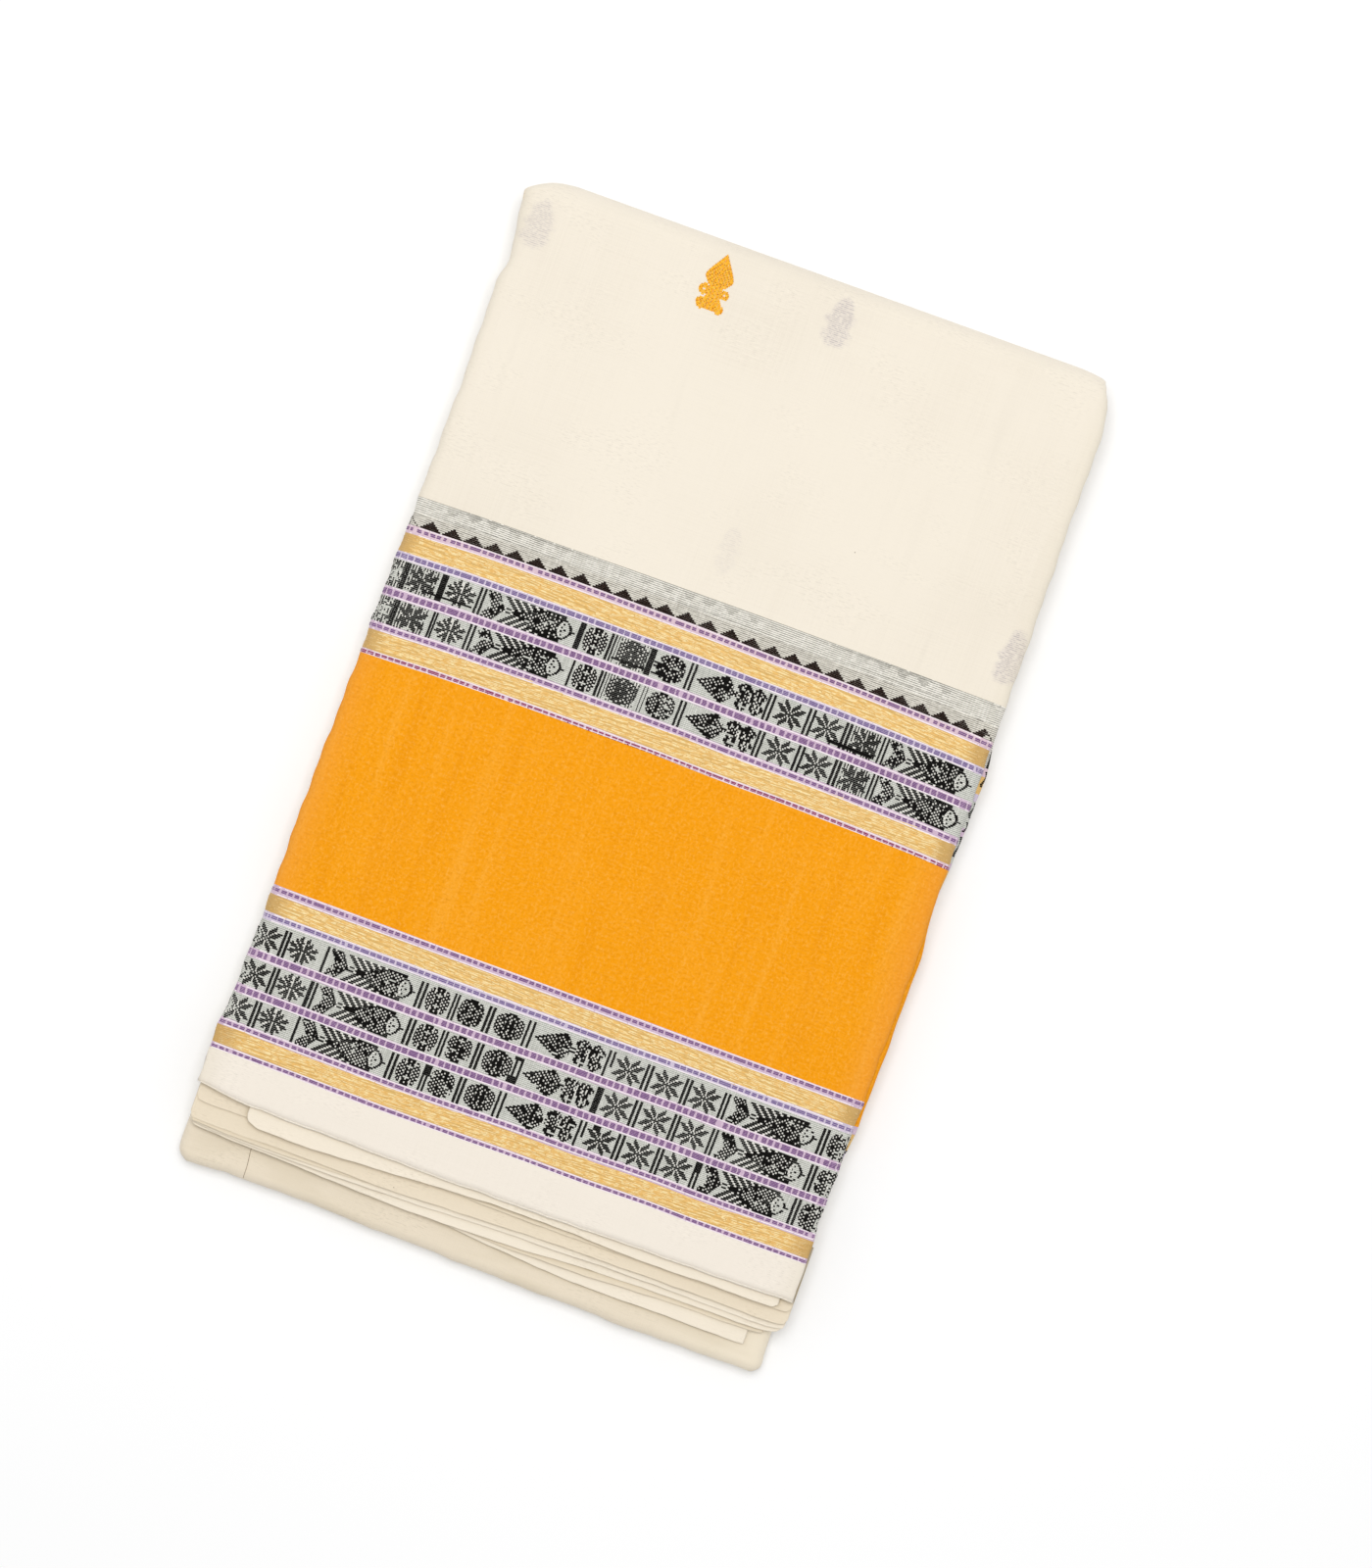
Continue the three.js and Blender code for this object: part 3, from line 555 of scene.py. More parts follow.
def orange_tint(n, colour):
    warp = n.noise(105, 6, 2, 0.55, 31.0)    # upright streaks, some 8 mm apart
    colour = n.mix(n.math("MULTIPLY", n.ramp(warp, 0.52, 0.72), 0.50), colour, srgb(255, 176, 56))
    colour = n.mix(n.math("MULTIPLY", n.ramp(n.math("SUBTRACT", 1.0, warp), 0.52, 0.72), 0.45), colour, srgb(243, 152, 8))
    block = n.ramp(n.noise(26, 20, 2, 0.5, 35.0), 0.50, 0.66)
    colour = n.mix(n.math("MULTIPLY", block, 0.20), colour, srgb(255, 170, 40))
    # grain of single threads, both ways
    fine = n.noise(820, 380, 1, 0.6, 37.0)
    colour = n.mix(n.math("MULTIPLY", n.ramp(fine, 0.52, 0.70), 0.36), colour, srgb(255, 186, 84))
    colour = n.mix(n.math("MULTIPLY", n.ramp(n.math("SUBTRACT", 1.0, fine), 0.54, 0.72), 0.36), colour, srgb(234, 142, 4))
    weft = n.noise(380, 860, 1, 0.6, 33.0)
    colour = n.mix(n.math("MULTIPLY", n.ramp(weft, 0.52, 0.70), 0.30), colour, srgb(255, 184, 78))
    colour = n.mix(n.math("MULTIPLY", n.ramp(n.math("SUBTRACT", 1.0, weft), 0.54, 0.72), 0.42), colour, srgb(232, 140, 4))
    slub = n.math("MULTIPLY", n.ramp(n.noise(40, 900, 1, 0.5, 38.0), 0.66, 0.74), 0.12)
    colour = n.mix(slub, colour, srgb(206, 122, 10))
    # painted shade: the orange is duller at the two side folds, where the cloth turns away from the light
    side = n.ramp(n.math("ABSOLUTE", n.u), 0.150, 0.176)
    return n.mix(n.math("MULTIPLY", side, 0.40), colour, srgb(243, 160, 74))


def leaf_painted_shadow(n, colour):
    """Painted contact shadow: grey-brown shade where a leaf goes in beneath the edge of the one above."""
    uv = n.t.nodes.new("ShaderNodeUVMap"); uv.uv_map = "Shade"
    sep = n.t.nodes.new("ShaderNodeSeparateXYZ")
    n.t.links.new(uv.outputs[0], sep.inputs[0])
    uneven = n.math("ADD", 0.70, n.math("MULTIPLY", n.noise(90, 160, 3, 0.6, 61.0), 0.60))
    f = n.math("MULTIPLY", sep.outputs[0], uneven, clamp=True)
    colour = n.mix(n.math("MULTIPLY", f, 0.62), colour, srgb(190, 174, 142))
    return n.mix(n.math("MULTIPLY", n.ramp(f, 0.60, 1.0), 0.55), colour, srgb(146, 128, 96))


def turn_tint(n, colour):
    colour = leaf_painted_shadow(n, colour)
    end = n.ramp(n.u, 0.085, 0.165)
    colour = n.mix(n.math("MULTIPLY", end, 0.60), colour, srgb(244, 233, 211))
    shadow = n.math("MULTIPLY", n.ramp(n.noise(16, 60, 2, 0.5, 63.0), 0.50, 0.72), 0.30)
    return n.mix(shadow, colour, srgb(214, 200, 172))


MAT = {}
MAT["cream"] = cloth_material("cream_cotton", CREAM_L, CREAM_D, streak=0.5, specks=0.10, tint=cream_tint, ticks=0.42)
MAT["margin"] = cloth_material("cream_margin", srgb(243, 234, 221), srgb(235, 225, 210), streak=0.55, specks=0.08, tint=side_fold_painted_shade, ticks=0.5)
# leaf_bright and leaf_mid are one cotton in two tones: leaf_mid is painted shade, for the leaves that lie in the
# recesses beneath the edges above
MAT["leaf_bright"] = cloth_material("selvedge_bright", srgb(245, 234, 215), srgb(236, 223, 200), streak=0.7, specks=0.12, tint=leaf_painted_shadow, ticks=0.6)
MAT["leaf_mid"] = cloth_material("selvedge_mid", srgb(237, 223, 199), srgb(226, 210, 182), streak=0.7, specks=0.12, tint=leaf_painted_shadow, ticks=0.6)
MAT["turn"] = cloth_material("turned_cotton", srgb(235, 222, 200), srgb(224, 210, 184), streak=0.6, specks=0.12, tint=turn_tint, ticks=0.6)
MAT["inner"] = cloth_material("inner_cotton", srgb(235, 222, 200), srgb(224, 210, 184), streak=0.6, specks=0.12, ticks=0.6)
MAT["under"] = cloth_material("underside_cotton", srgb(240, 231, 212), srgb(230, 219, 197), streak=0.6, specks=0.10)
MAT["orange"] = cloth_material("orange_cotton", srgb(252, 163, 16), srgb(245, 152, 6), streak=0.75, bump=0.9, sheen=0.02, tint=orange_tint, specular=0.08, ticks=0.0)


def pinstripe_material(name, light, dark, pin_dark, pitch, share, amount, phase=0.1):
    """Fine lines along the cloth on a pale ground, with a fainter upright grid."""
    n = Nodes(name)
    base = n.mix(n.ramp(n.noise(1500, 14, 2, 0.6, 1.0), 0.3, 0.7), dark, light)
    broken = n.ramp(n.noise(240, 900, 2, 0.6, 6.0), 0.35, 0.6)
    pin = n.math("MULTIPLY", n.lines(n.v, pitch, share, phase), n.math("MULTIPLY", n.math("ADD", 0.45, n.math("MULTIPLY", broken, 0.55)), amount))
    colour = n.mix(pin, base, pin_dark)
    upright = n.math("MULTIPLY", n.lines(n.u, 2.0, 0.35, 0.0, 0.2), 0.16)
    colour = n.mix(upright, colour, srgb(178, 174, 162))
    n.weave_bump(strength=0.7)
    return n.finish(colour, 0.86, 0.15)


def grey_ground_material(name):
    """Ground of the motif rows: pale threads crossed by fine dark ones, in a faint square grid."""
    n = Nodes(name)
    base = n.mix(n.ramp(n.noise(1200, 40, 2, 0.6, 1.0), 0.3, 0.7), srgb(210, 211, 202), srgb(234, 234, 226))
    line = n.math("MULTIPLY", n.lines(n.v, 1.0, 0.36, 0.0, 0.14), n.math("ADD", 0.45, n.math("MULTIPLY", n.ramp(n.noise(420, 900, 2, 0.6, 6.0), 0.3, 0.65), 0.50)))
    colour = n.mix(line, base, srgb(118, 119, 111))
    upright = n.math("MULTIPLY", n.lines(n.u, 1.13, 0.32, 0.2, 0.16), 0.30)
    colour = n.mix(upright, colour, srgb(146, 147, 139))
    smudge = n.ramp(n.noise(60, 180, 2, 0.6, 17.0), 0.55, 0.75)
    colour = n.mix(n.math("MULTIPLY", smudge, 0.25), colour, srgb(150, 150, 142))
    n.weave_bump(pitch_mm=0.6, depth=0.00009, strength=0.8)
    return n.finish(colour, 0.8, 0.12)


def stripe_ground_material(name, pale, deep):
    """Ground under the woven dashes of a coloured stripe."""
    n = Nodes(name)
    edge = n.lines(n.v, 0.78, 0.5, 0.0, 0.2)
    colour = n.mix(n.math("MULTIPLY", edge, 0.35), pale, deep)
    colour = n.mix(n.math("MULTIPLY", n.ramp(n.noise(700, 200, 2, 0.6, 3.0), 0.40, 0.70), 0.35), colour, srgb(238, 218, 230))
    n.weave_bump(strength=0.6)
    return n.finish(colour, 0.6, 0.15)


def zari_ground_material():
    """Gold band: metal thread over pale yellow silk, fine lines along the band, darker at its ends as painted shade at
    the side folds.
    """
    n = Nodes("gold_band")
    line = n.lines(n.v, 1.10, 0.5, 0.2, 0.2)
    base = n.mix(n.math("MULTIPLY", line, 0.30), srgb(230, 188, 110), srgb(186, 138, 72))
    mottled = n.ramp(n.noise(330, 500, 2, 0.6, 7.0), 0.35, 0.7)
    colour = n.mix(n.math("MULTIPLY", mottled, 0.30), base, srgb(244, 210, 146))
    # painted shade: the band darkens towards the side folds, where the metal turns away from the light
    end = n.ramp(n.math("ABSOLUTE", n.u), 0.158, 0.170)
    colour = n.mix(n.math("MULTIPLY", end, 0.45), colour, srgb(176, 138, 82))
    n.weave_bump(pitch_mm=0.5, depth=0.00008, strength=0.8)
    return n.finish(colour, 0.45, 0.0, metallic=0.35, specular=0.5)


MAT["ghost"] = pinstripe_material("ghost_band", srgb(248, 244, 234), srgb(236, 232, 220), srgb(104, 100, 92), 1.12, 0.40, 0.95)
MAT["pinstripe"] = pinstripe_material("pinstripe_band", srgb(238, 233, 221), srgb(218, 213, 200), srgb(84, 79, 71), 1.05, 0.44, 0.92, 0.3)
MAT["grey"] = grey_ground_material("grey_ground")
MAT["purple_ground"] = stripe_ground_material("purple_stripe_ground", srgb(206, 180, 200), srgb(172, 142, 174))
MAT["pink_ground"] = stripe_ground_material("pink_stripe_ground", srgb(218, 192, 202), srgb(184, 148, 170))
MAT["violet_ground"] = stripe_ground_material("violet_stripe_ground", srgb(206, 194, 212), srgb(168, 154, 186))
MAT["gold"] = zari_ground_material()


def thread_material(name, light, dark, rough=0.6, metallic=0.0, sheen=0.1, specular=0.35, end=None, grain=(600, 1400), spread=(0.3, 0.7)):
    n = Nodes(name)
    f = n.ramp(n.noise(grain[0], grain[1], 2, 0.6, 9.0), *spread)
    colour = n.mix(f, dark, light)
    # painted shade where end is given: the thread darkens towards the side folds, where it turns away from the light
    if end is not None:
        g = n.ramp(n.math("ABSOLUTE", n.u), 0.156, 0.170)
        colour = n.mix(n.math("MULTIPLY", g, 0.6), colour, end)
    ply = n.math("SINE", n.math("MULTIPLY", n.math("ADD", n.u, n.math("MULTIPLY", n.v, 1.6)), 2 * math.pi / 0.00045))
    bump = n.t.nodes.new("ShaderNodeBump")
    bump.inputs["Strength"].default_value = 0.5
    bump.inputs["Distance"].default_value = 0.00006
    n.t.links.new(ply, bump.inputs["Height"])
    n.t.links.new(bump.outputs[0], n.bsdf.inputs["Normal"])
    return n.finish(colour, rough, sheen, metallic, specular)


MAT["black"] = thread_material("black_thread", srgb(27, 25, 23), srgb(9, 8, 8), rough=0.9, sheen=0.0, specular=0.08)
MAT["brown_black"] = thread_material("temple_thread", srgb(48, 32, 26), srgb(22, 15, 12), rough=0.9, sheen=0.0, specular=0.08)
MAT["pale_thread"] = thread_material("pale_thread", srgb(246, 243, 236), srgb(226, 223, 214), rough=0.85, sheen=0.05, specular=0.15)
MAT["pink_thread"] = thread_material("pink_white_thread", srgb(255, 247, 249), srgb(246, 232, 240), rough=0.85, sheen=0.05, specular=0.15)
MAT["purple"] = thread_material("purple_thread", srgb(134, 92, 146), srgb(102, 64, 116), rough=0.5, sheen=0.05, specular=0.2)
MAT["violet"] = thread_material("violet_thread", srgb(134, 112, 160), srgb(104, 84, 136), rough=0.5, sheen=0.05, specular=0.2)
MAT["magenta"] = thread_material("magenta_thread", srgb(162, 56, 106), srgb(128, 36, 78), rough=0.5, sheen=0.05, specular=0.2)
MAT["zari"] = thread_material("gold_thread", srgb(255, 234, 178), srgb(243, 197, 114), rough=0.5, metallic=0.12, sheen=0.0, specular=0.35, end=srgb(206, 164, 98), grain=(260, 900), spread=(0.38, 0.62))
MAT["orange_thread"] = thread_material("orange_motif_thread", srgb(255, 208, 70), srgb(250, 162, 12), rough=0.6, sheen=0.05, specular=0.15)
MAT["vein_thread"] = thread_material("leaf_motif_vein_thread", srgb(188, 108, 14), srgb(156, 84, 8), rough=0.6, sheen=0.0, specular=0.15)
MAT["ghost_thread"] = thread_material("pinstripe_thread", srgb(168, 166, 155), srgb(140, 137, 128), rough=0.85)
MAT["cream_thread"] = thread_material("cream_thread", srgb(252, 244, 230), srgb(240, 230, 212), rough=0.8)
MAT["yarn"] = thread_material("stray_yarn", srgb(150, 128, 100), srgb(112, 92, 70), rough=0.9)

# ------------------------------------------------------------------ the front leaf and its woven zones
# woven lines down the cloth: level at the left edge and at the right edge, and the ground below it
UP, LOW = (-132.8, -126.8), (261.4, 266.1)   # lower edge of the first gold band, and of the third


def up(off):
    return between(UP[0] + off, UP[1] + off)


def low(off):
    return between(LOW[0] + off, LOW[1] + off * 0.985)


ZONES = [
    # level at the left edge and at the right edge, ground below the line
    (-190.4, -190.8, "ghost"),
    (-174.6, -170.6, "pinstripe"),
    (-161.4, -154.3, "pink_ground"),
    (-152.7, -145.5, "gold"),
    (-132.8, -126.8, "violet_ground"),
    (-132.8 + 8.3, -126.8 + 8.1, "grey"),
    (-132.8 + 37.8, -126.8 + 37.4, "purple_ground"),
    (-132.8 + 48.0, -126.8 + 47.5, "grey"),
    (-132.8 + 76.2, -126.8 + 75.6, "purple_ground"),
    (-132.8 + 84.9, -126.8 + 84.3, "gold"),
    (-132.8 + 105.3, -126.8 + 105.0, "pink_ground"),
    (-22.0, -16.1, "orange"),
    (233.6, 238.6, "purple_ground"),
    (243.0, 247.4, "gold"),
    (261.4, 266.1, "violet_ground"),
    (261.4 + 8.8, 266.1 + 8.6, "grey"),
    (261.4 + 40.3, 266.1 + 39.5, "purple_ground"),
    (261.4 + 50.2, 266.1 + 49.4, "grey"),
    (261.4 + 79.6, 266.1 + 78.4, "purple_ground"),
    (261.4 + 89.0, 266.1 + 88.0, "grey"),
    (261.4 + 117.6, 266.1 + 116.0, "purple_ground"),
    (387.0, 391.2, "gold"),
    (405.8, 409.8, "purple_ground"),
    (412.0, 415.4, "margin"),
]
GROUNDS = ["cream", "ghost", "pinstripe", "pink_ground", "gold", "violet_ground", "grey", "purple_ground", "orange", "margin", "under"]


def selvedge_y(p):
    return look(SELVEDGE, p) + ragged(p, 0.9, 0.55)


def leaf_rows(columns, step=4.0):
    """Rows from the selvedge up: each row's q at every column, and the ground between rows."""
    lines = [selvedge_y(columns)]
    names = []
    ordered = [(line_y(a, b)(columns), g) for a, b, g in ZONES][::-1]
    q_prev = lines[0]
    for q, ground in ordered:
        n = max(1, int(round(np.max(q - q_prev) / step)))
        for k in range(1, n + 1):
            lines.append(q_prev + (q - q_prev) * k / n)
            names.append(ground)
        q_prev = q
    return lines, names


half_left, half_right = 182.0, 180.0
cols_front = np.concatenate([
    np.linspace(-half_left, -163.0, 13)[:-1], np.linspace(-163.0, 163.5, 88)[:-1], np.linspace(163.5, half_right, 12)])
rows_q, rows_ground = leaf_rows(cols_front)
q_prev = rows_q[-1]
flat_q = np.full_like(cols_front, Y_FLAT)
n = int(round(np.max(flat_q - q_prev) / 4.2))
for k in range(1, n + 1):
    rows_q.append(q_prev + (flat_q - q_prev) * k / n); rows_ground.append("cream")
for k in range(1, 33):
    rows_q.append(np.full_like(cols_front, Y_FLAT + 2 * ROLL_LEN * k / 32)); rows_ground.append("cream")
for k in range(1, 5):
    rows_q.append(np.full_like(cols_front, Y_FLAT + 2 * ROLL_LEN + 4.0 * k)); rows_ground.append("cream")
front = grid_shell("front_leaf_cloth", front_point, rows_q, cols_front, [MAT[g] for g in GROUNDS],
                   [GROUNDS.index(g) for g in rows_ground])

# ------------------------------------------------------------------ the second fold, along the right side
FOLD_ARC = 3.9


def fold_point(p, q):
    """The second fold: p is the length round it from its nose (down is positive), q is y."""
    p, q = np.broadcast_arrays(np.asarray(p, float), np.asarray(q, float))
    edge = look(FRONT_EDGES, q, 2) + look(FOLD_PROUD, q) + 0.25 * np.sin(q / 9.0) + 0.15 * np.sin(q / 4.1)
    close = ease(np.minimum(270 - q, q + 214) / 9 + 0.25)
    half, reach = 3.1 * close, 4.5
    th = np.clip(np.degrees(p / FOLD_ARC), -90, 90)
    past = np.maximum(np.abs(p) - FOLD_ARC * math.pi / 2, 0)
    x = edge - reach + reach * np.cos(rad(th)) - past
    h = 3.5 - half * np.sin(rad(th))
    z = HALF_Z + h * swell(x, q)
    return np.stack([x, q, z], -1)


FOLD_SHIFT = 14.5                            # its border sits this much lower than the front leaf's
fold_cols = np.linspace(-10.6, 10.6, 19)
f_rows, f_ground = leaf_rows(np.full(19, 172.0))
f_rows = [r - FOLD_SHIFT for r in f_rows]
keep = [i for i, r in enumerate(f_rows) if r[0] > -211.0]
f_q = [np.full(19, -211.5)] + [f_rows[i] for i in keep]
f_g = [f_ground[keep[0] - 1]] + [f_ground[i] for i in keep[:-1]]
q_prev = f_q[-1]
n = 40
for k in range(1, n + 1):
    f_q.append(q_prev + (266.0 - q_prev) * k / n); f_g.append("cream")
right_fold = grid_shell("second_fold_cloth", fold_point, f_q, fold_cols, [MAT[g] for g in GROUNDS], [GROUNDS.index(g) for g in f_g])


# ------------------------------------------------------------------ outer edges of the loose ends, x and y
E2 = [(-143.2, -249.6), (-142.2, -252.4), (-139.4, -254.0), (-134.0, -255.5), (-104.7, -255.6), (-65, -254.0),
      (-18, -251.4), (40, -250.9), (86, -252.4), (130, -251.6), (163.0, -251.6), (166.2, -249.6)]
E3A = [(-173.4, -247.0), (-171.5, -251.0), (-150, -251.6), (-110, -252.5), (-60, -252.4), (0, -253.0), (60, -253.6), (120, -253.0), (171, -252.0), (174.2, -249.5)]
E3 = [(-173.6, -258.0), (-171.5, -262.0), (-106, -262.4), (-50, -262.8), (0, -261.4), (60, -260.2), (108, -259.8),
      (160, -260.2), (172.6, -259.2), (174.4, -256.0)]
E3C = [(-173.0, -259.5), (-170.5, -263.6), (-100, -264.4), (-40, -262.0), (0, -258.6), (60, -257.4), (108, -257.2), (165, -258.0), (173.0, -256.0)]
E4A = [(-172.6, -260.0), (-170.5, -264.2), (-121, -266.2), (-65, -266.4), (5, -264.0), (52, -263.4), (108, -263.2), (162, -263.4), (173.6, -261.6), (174.0, -259.6)]
E4 = [(-172.6, -263.0), (-169.0, -265.8), (-121, -268.0), (-65, -270.2), (5, -270.2), (52, -268.2), (108, -266.6),
      (160, -266.4), (170.5, -264.6), (173.6, -261.0)]
E5A = [(-60, -262.0), (-48, -267.0), (0, -271.4), (52, -271.6), (100, -269.6), (150, -269.4), (163.0, -268.4), (164.6, -266.0)]
E5 = [(-171.8, -257.0), (-169.5, -260.4), (-121, -262.8), (-70, -265.2), (-42, -269.0), (0, -273.0),
      (30, -275.6), (60, -277.2), (108, -277.6), (150, -277.8), (156.0, -277.4)]


def beside(x, y, above, reach=1.1):
    """Strength of the painted contact shadow: 1 under and at the edge of a leaf above, falling to 0 away from it.
    above: (x, y rows, strength).
    """
    out = np.zeros(np.broadcast(x, y).shape)
    for rows, strength in above:
        e = np.array(rows, float)
        d = np.maximum(look(e, x) - y, 0)
        side = np.maximum(np.maximum(e[0, 0] - x, x - e[-1, 0]), 0)
        out = np.maximum(out, strength * np.exp(-np.hypot(d, side) / reach))
    return out


# ------------------------------------------------------------------ the rear leaf: underside, bottom turn
UNDER_Y0 = 262.5
TURN_ARC = 9.7                               # cloth in a quarter of the bottom turn


def rear_point(p, q):
    """The rear leaf. q is the length from the line where the front leaf ends, along the
    underside, round the bottom turn, and back in under the loose ends."""
    p, q = np.broadcast_arrays(np.asarray(p, float), np.asarray(q, float))
    flat = UNDER_Y0 + 285.6
    turn = np.clip((q - flat) / TURN_ARC * 90, 0, 180)
    past = np.maximum(q - flat - 2 * TURN_ARC, 0)
    y = np.where(q <= flat, UNDER_Y0 - q, -285.6 - TURN_ROLL * np.sin(rad(turn)) + past)
    top = turn > 90
    left, right = look(REAR_EDGES, y, 1) - 0.1, look(REAR_EDGES, y, 2) + 0.1
    wrap = 88 + 66 * ease((y + 262) / 26) * ease((284 - y) / 22)      # left side: a whole fold
    reach, half = 5.6, REAR_EQUATOR - GAP
    arc = 5.8
    dl, dr = (left + reach) - p, p - (right - reach)
    thl = np.minimum(np.degrees(np.maximum(dl, 0) / arc), np.where(top, 89, wrap))
    thr = np.minimum(np.degrees(np.maximum(dr, 0) / arc), 89)
    x = np.clip(p, left + reach, right - reach)
    x = np.where(dl > 0, left + reach - reach * np.sin(rad(thl)), x)
    x = np.where(dr > 0, right - reach + reach * np.sin(rad(thr)), x)
    th = np.maximum(thl, thr)
    lift = np.cos(rad(turn))
    z_low = REAR_EQUATOR - GAP - (REAR_EQUATOR - GAP) * np.cos(rad(th)) * np.abs(lift)
    base = REAR_EQUATOR - GAP
    crumple = (0.22 * np.sin(x / 29.0 + 0.5) * np.sin(y / 7.0 + x / 60.0) + 0.12 * np.sin(x / 11.0)) * ease((-y - 262) / 12)
    z_top = base + ((TURN_TOP - base) * np.cos(rad(th)) + crumple * np.cos(rad(th))) * np.abs(lift)
    z = np.where(top, z_top, z_low)
    share = ease((-240 - y) / 40)
    y = y + share * (look(TURN_EDGE, x) + 291.6) + share * (0.25 * np.sin(x / 8.3) + 0.2 * np.sin(x / 21.0) + ragged(x, 1.7, 0.55))
    return np.stack([x, y, z], -1)


cols_rear = np.concatenate([np.linspace(-184.0, -166.5, 12)[:-1], np.linspace(-166.5, 163.5, 150)[:-1], np.linspace(163.5, 176.0, 9)])
q_rows = list(np.linspace(0, UNDER_Y0 + 250, 64)) + list(np.linspace(UNDER_Y0 + 250, UNDER_Y0 + 285.6, 10)[1:])
q_rows += list(UNDER_Y0 + 285.6 + np.linspace(0, 2 * TURN_ARC, 25)[1:])
q_rows += list(UNDER_Y0 + 285.6 + 2 * TURN_ARC + np.linspace(0, 36, 31)[1:])
q_rows = np.array(q_rows)
rear_slots = [1 if q > UNDER_Y0 + 285.6 else 0 for q in (q_rows[:-1] + q_rows[1:]) / 2]
Qr = np.repeat(q_rows[:, None], len(cols_rear), 1)
Pr = np.broadcast_to(cols_rear, Qr.shape)
Ptr = rear_point(Pr, Qr)
Nr = normals_of(rear_point, Pr, Qr)
if Nr[20, 50, 2] > 0:
    Pr, Ptr, Nr = Pr[:, ::-1], Ptr[:, ::-1], -Nr[:, ::-1]
rear = shell("rear_leaf_cloth", Ptr, Nr, [MAT["under"], MAT["turn"]], rear_slots, (Pr, Qr),
             shade=beside(Ptr[..., 0], Ptr[..., 1], [(E5, 1.0), (E4, 0.8)]) * (Qr > UNDER_Y0 + 285.6 + TURN_ARC))


# ------------------------------------------------------------------ the loose ends
def leaf_sheet(name, level, edge, start=-213.8, material="leaf_mid", droop=0.35, wave=0.35, seed=0.0, curl=0.0, above=()):
    """One thin leaf at a level, from a hidden start line to its outer edge (x, y rows)."""
    e = np.array(edge, float)
    x0, x1 = e[0, 0], e[-1, 0]
    xs = np.unique(np.concatenate([np.linspace(x0, x1, 190), np.linspace(x0, x0 + 6, 9), np.linspace(x1 - 6, x1, 9)]))
    ts = np.concatenate([[0, 0.25, 0.45], np.linspace(0.6, 0.98, 17), [0.992, 1.0]])
    ye = look(e, xs) + wave * (0.5 * np.sin(xs / 29.0 + 3 * seed)) + ragged(xs, seed, wave)
    X, T = np.meshgrid(xs, ts)
    Y = start + (ye - start)[None, :] * T
    near = ease((T - 0.66) / 0.34)
    rise = 0.28 * np.sin(X / 24.0 + seed * 5) + 0.16 * np.sin(X / 9.0 + seed) + 0.10 * np.sin(X / 3.9 + seed * 2)
    rise = rise + 0.10 * np.sin(X / 6.1 + Y / 2.3 + seed) + 0.06 * np.sin(X / 2.7 - Y / 3.1)
    Z = HALF_Z + (level - HALF_Z) * swell(X, Y) + near * (rise * 0.8 - droop) + curl * near ** 3
    side = np.minimum(X - x0, x1 - X)
    Z = Z - 0.25 * np.exp(-side / 1.2)
    P = np.stack([X, Y, Z], -1)
    du = np.gradient(P, axis=1); dv = np.gradient(P, axis=0)
    N = np.cross(du, dv); N /= np.maximum(np.linalg.norm(N, axis=-1, keepdims=True), 1e-9)
    if N[0, 10, 2] < 0:
        P, N, X, Y = P[:, ::-1], -N[:, ::-1], X[:, ::-1], Y[:, ::-1]
    return shell(name, P, N, [MAT[material]], None, (X, Y), 0.4, shade=beside(X, Y, above))


def shifted(edge, dy, dx0=0.0, dx1=0.0):
    e = [list(r) for r in edge]
    for r in e:
        r[1] += dy
    e[0][0] += dx0; e[-1][0] += dx1
    return e


SEL = [tuple(r) for r in SELVEDGE]
ends = {
    "leaf_2": [leaf_sheet("leaf_2_cloth", 22.45, E2, material="leaf_bright", seed=0.3, droop=0.25, above=[(SEL, 0.55)]),
               leaf_sheet("leaf_2_inner", 21.3, shifted(E2, 0.6, 0.6), material="leaf_mid", seed=0.9, droop=0.1, above=[(SEL, 1.0)])],
    "leaf_3": [leaf_sheet("leaf_3_top", 19.9, E3A, material="leaf_mid", seed=1.4, droop=0.1, above=[(SEL, 0.9), (E2, 1.0)]),
               leaf_sheet("leaf_3_cloth", 19.1, E3, material="leaf_mid", seed=2.2, droop=0.3, above=[(E3A, 0.35), (E2, 0.9), (SEL, 0.6)]),
               leaf_sheet("leaf_3_inner", 18.3, E3C, material="leaf_mid", seed=2.9, droop=0.1, above=[(E3, 0.7)])],
    "leaf_4": [leaf_sheet("leaf_4_top", 17.5, E4A, material="leaf_bright", seed=3.6, droop=0.15, above=[(E3, 0.6), (E3C, 0.6)]),
               leaf_sheet("leaf_4_cloth", 16.5, E4, material="leaf_bright", seed=4.1, droop=0.35, above=[(E4A, 0.5)])],
    "leaf_5": [leaf_sheet("leaf_5_top", 15.3, E5A, material="leaf_mid", seed=4.8, droop=0.1, above=[(E4, 0.9)]),
               leaf_sheet("leaf_5_cloth", 14.4, E5, material="leaf_bright", seed=5.5, droop=0.3, above=[(E5A, 0.5), (E4, 0.8)])],
}


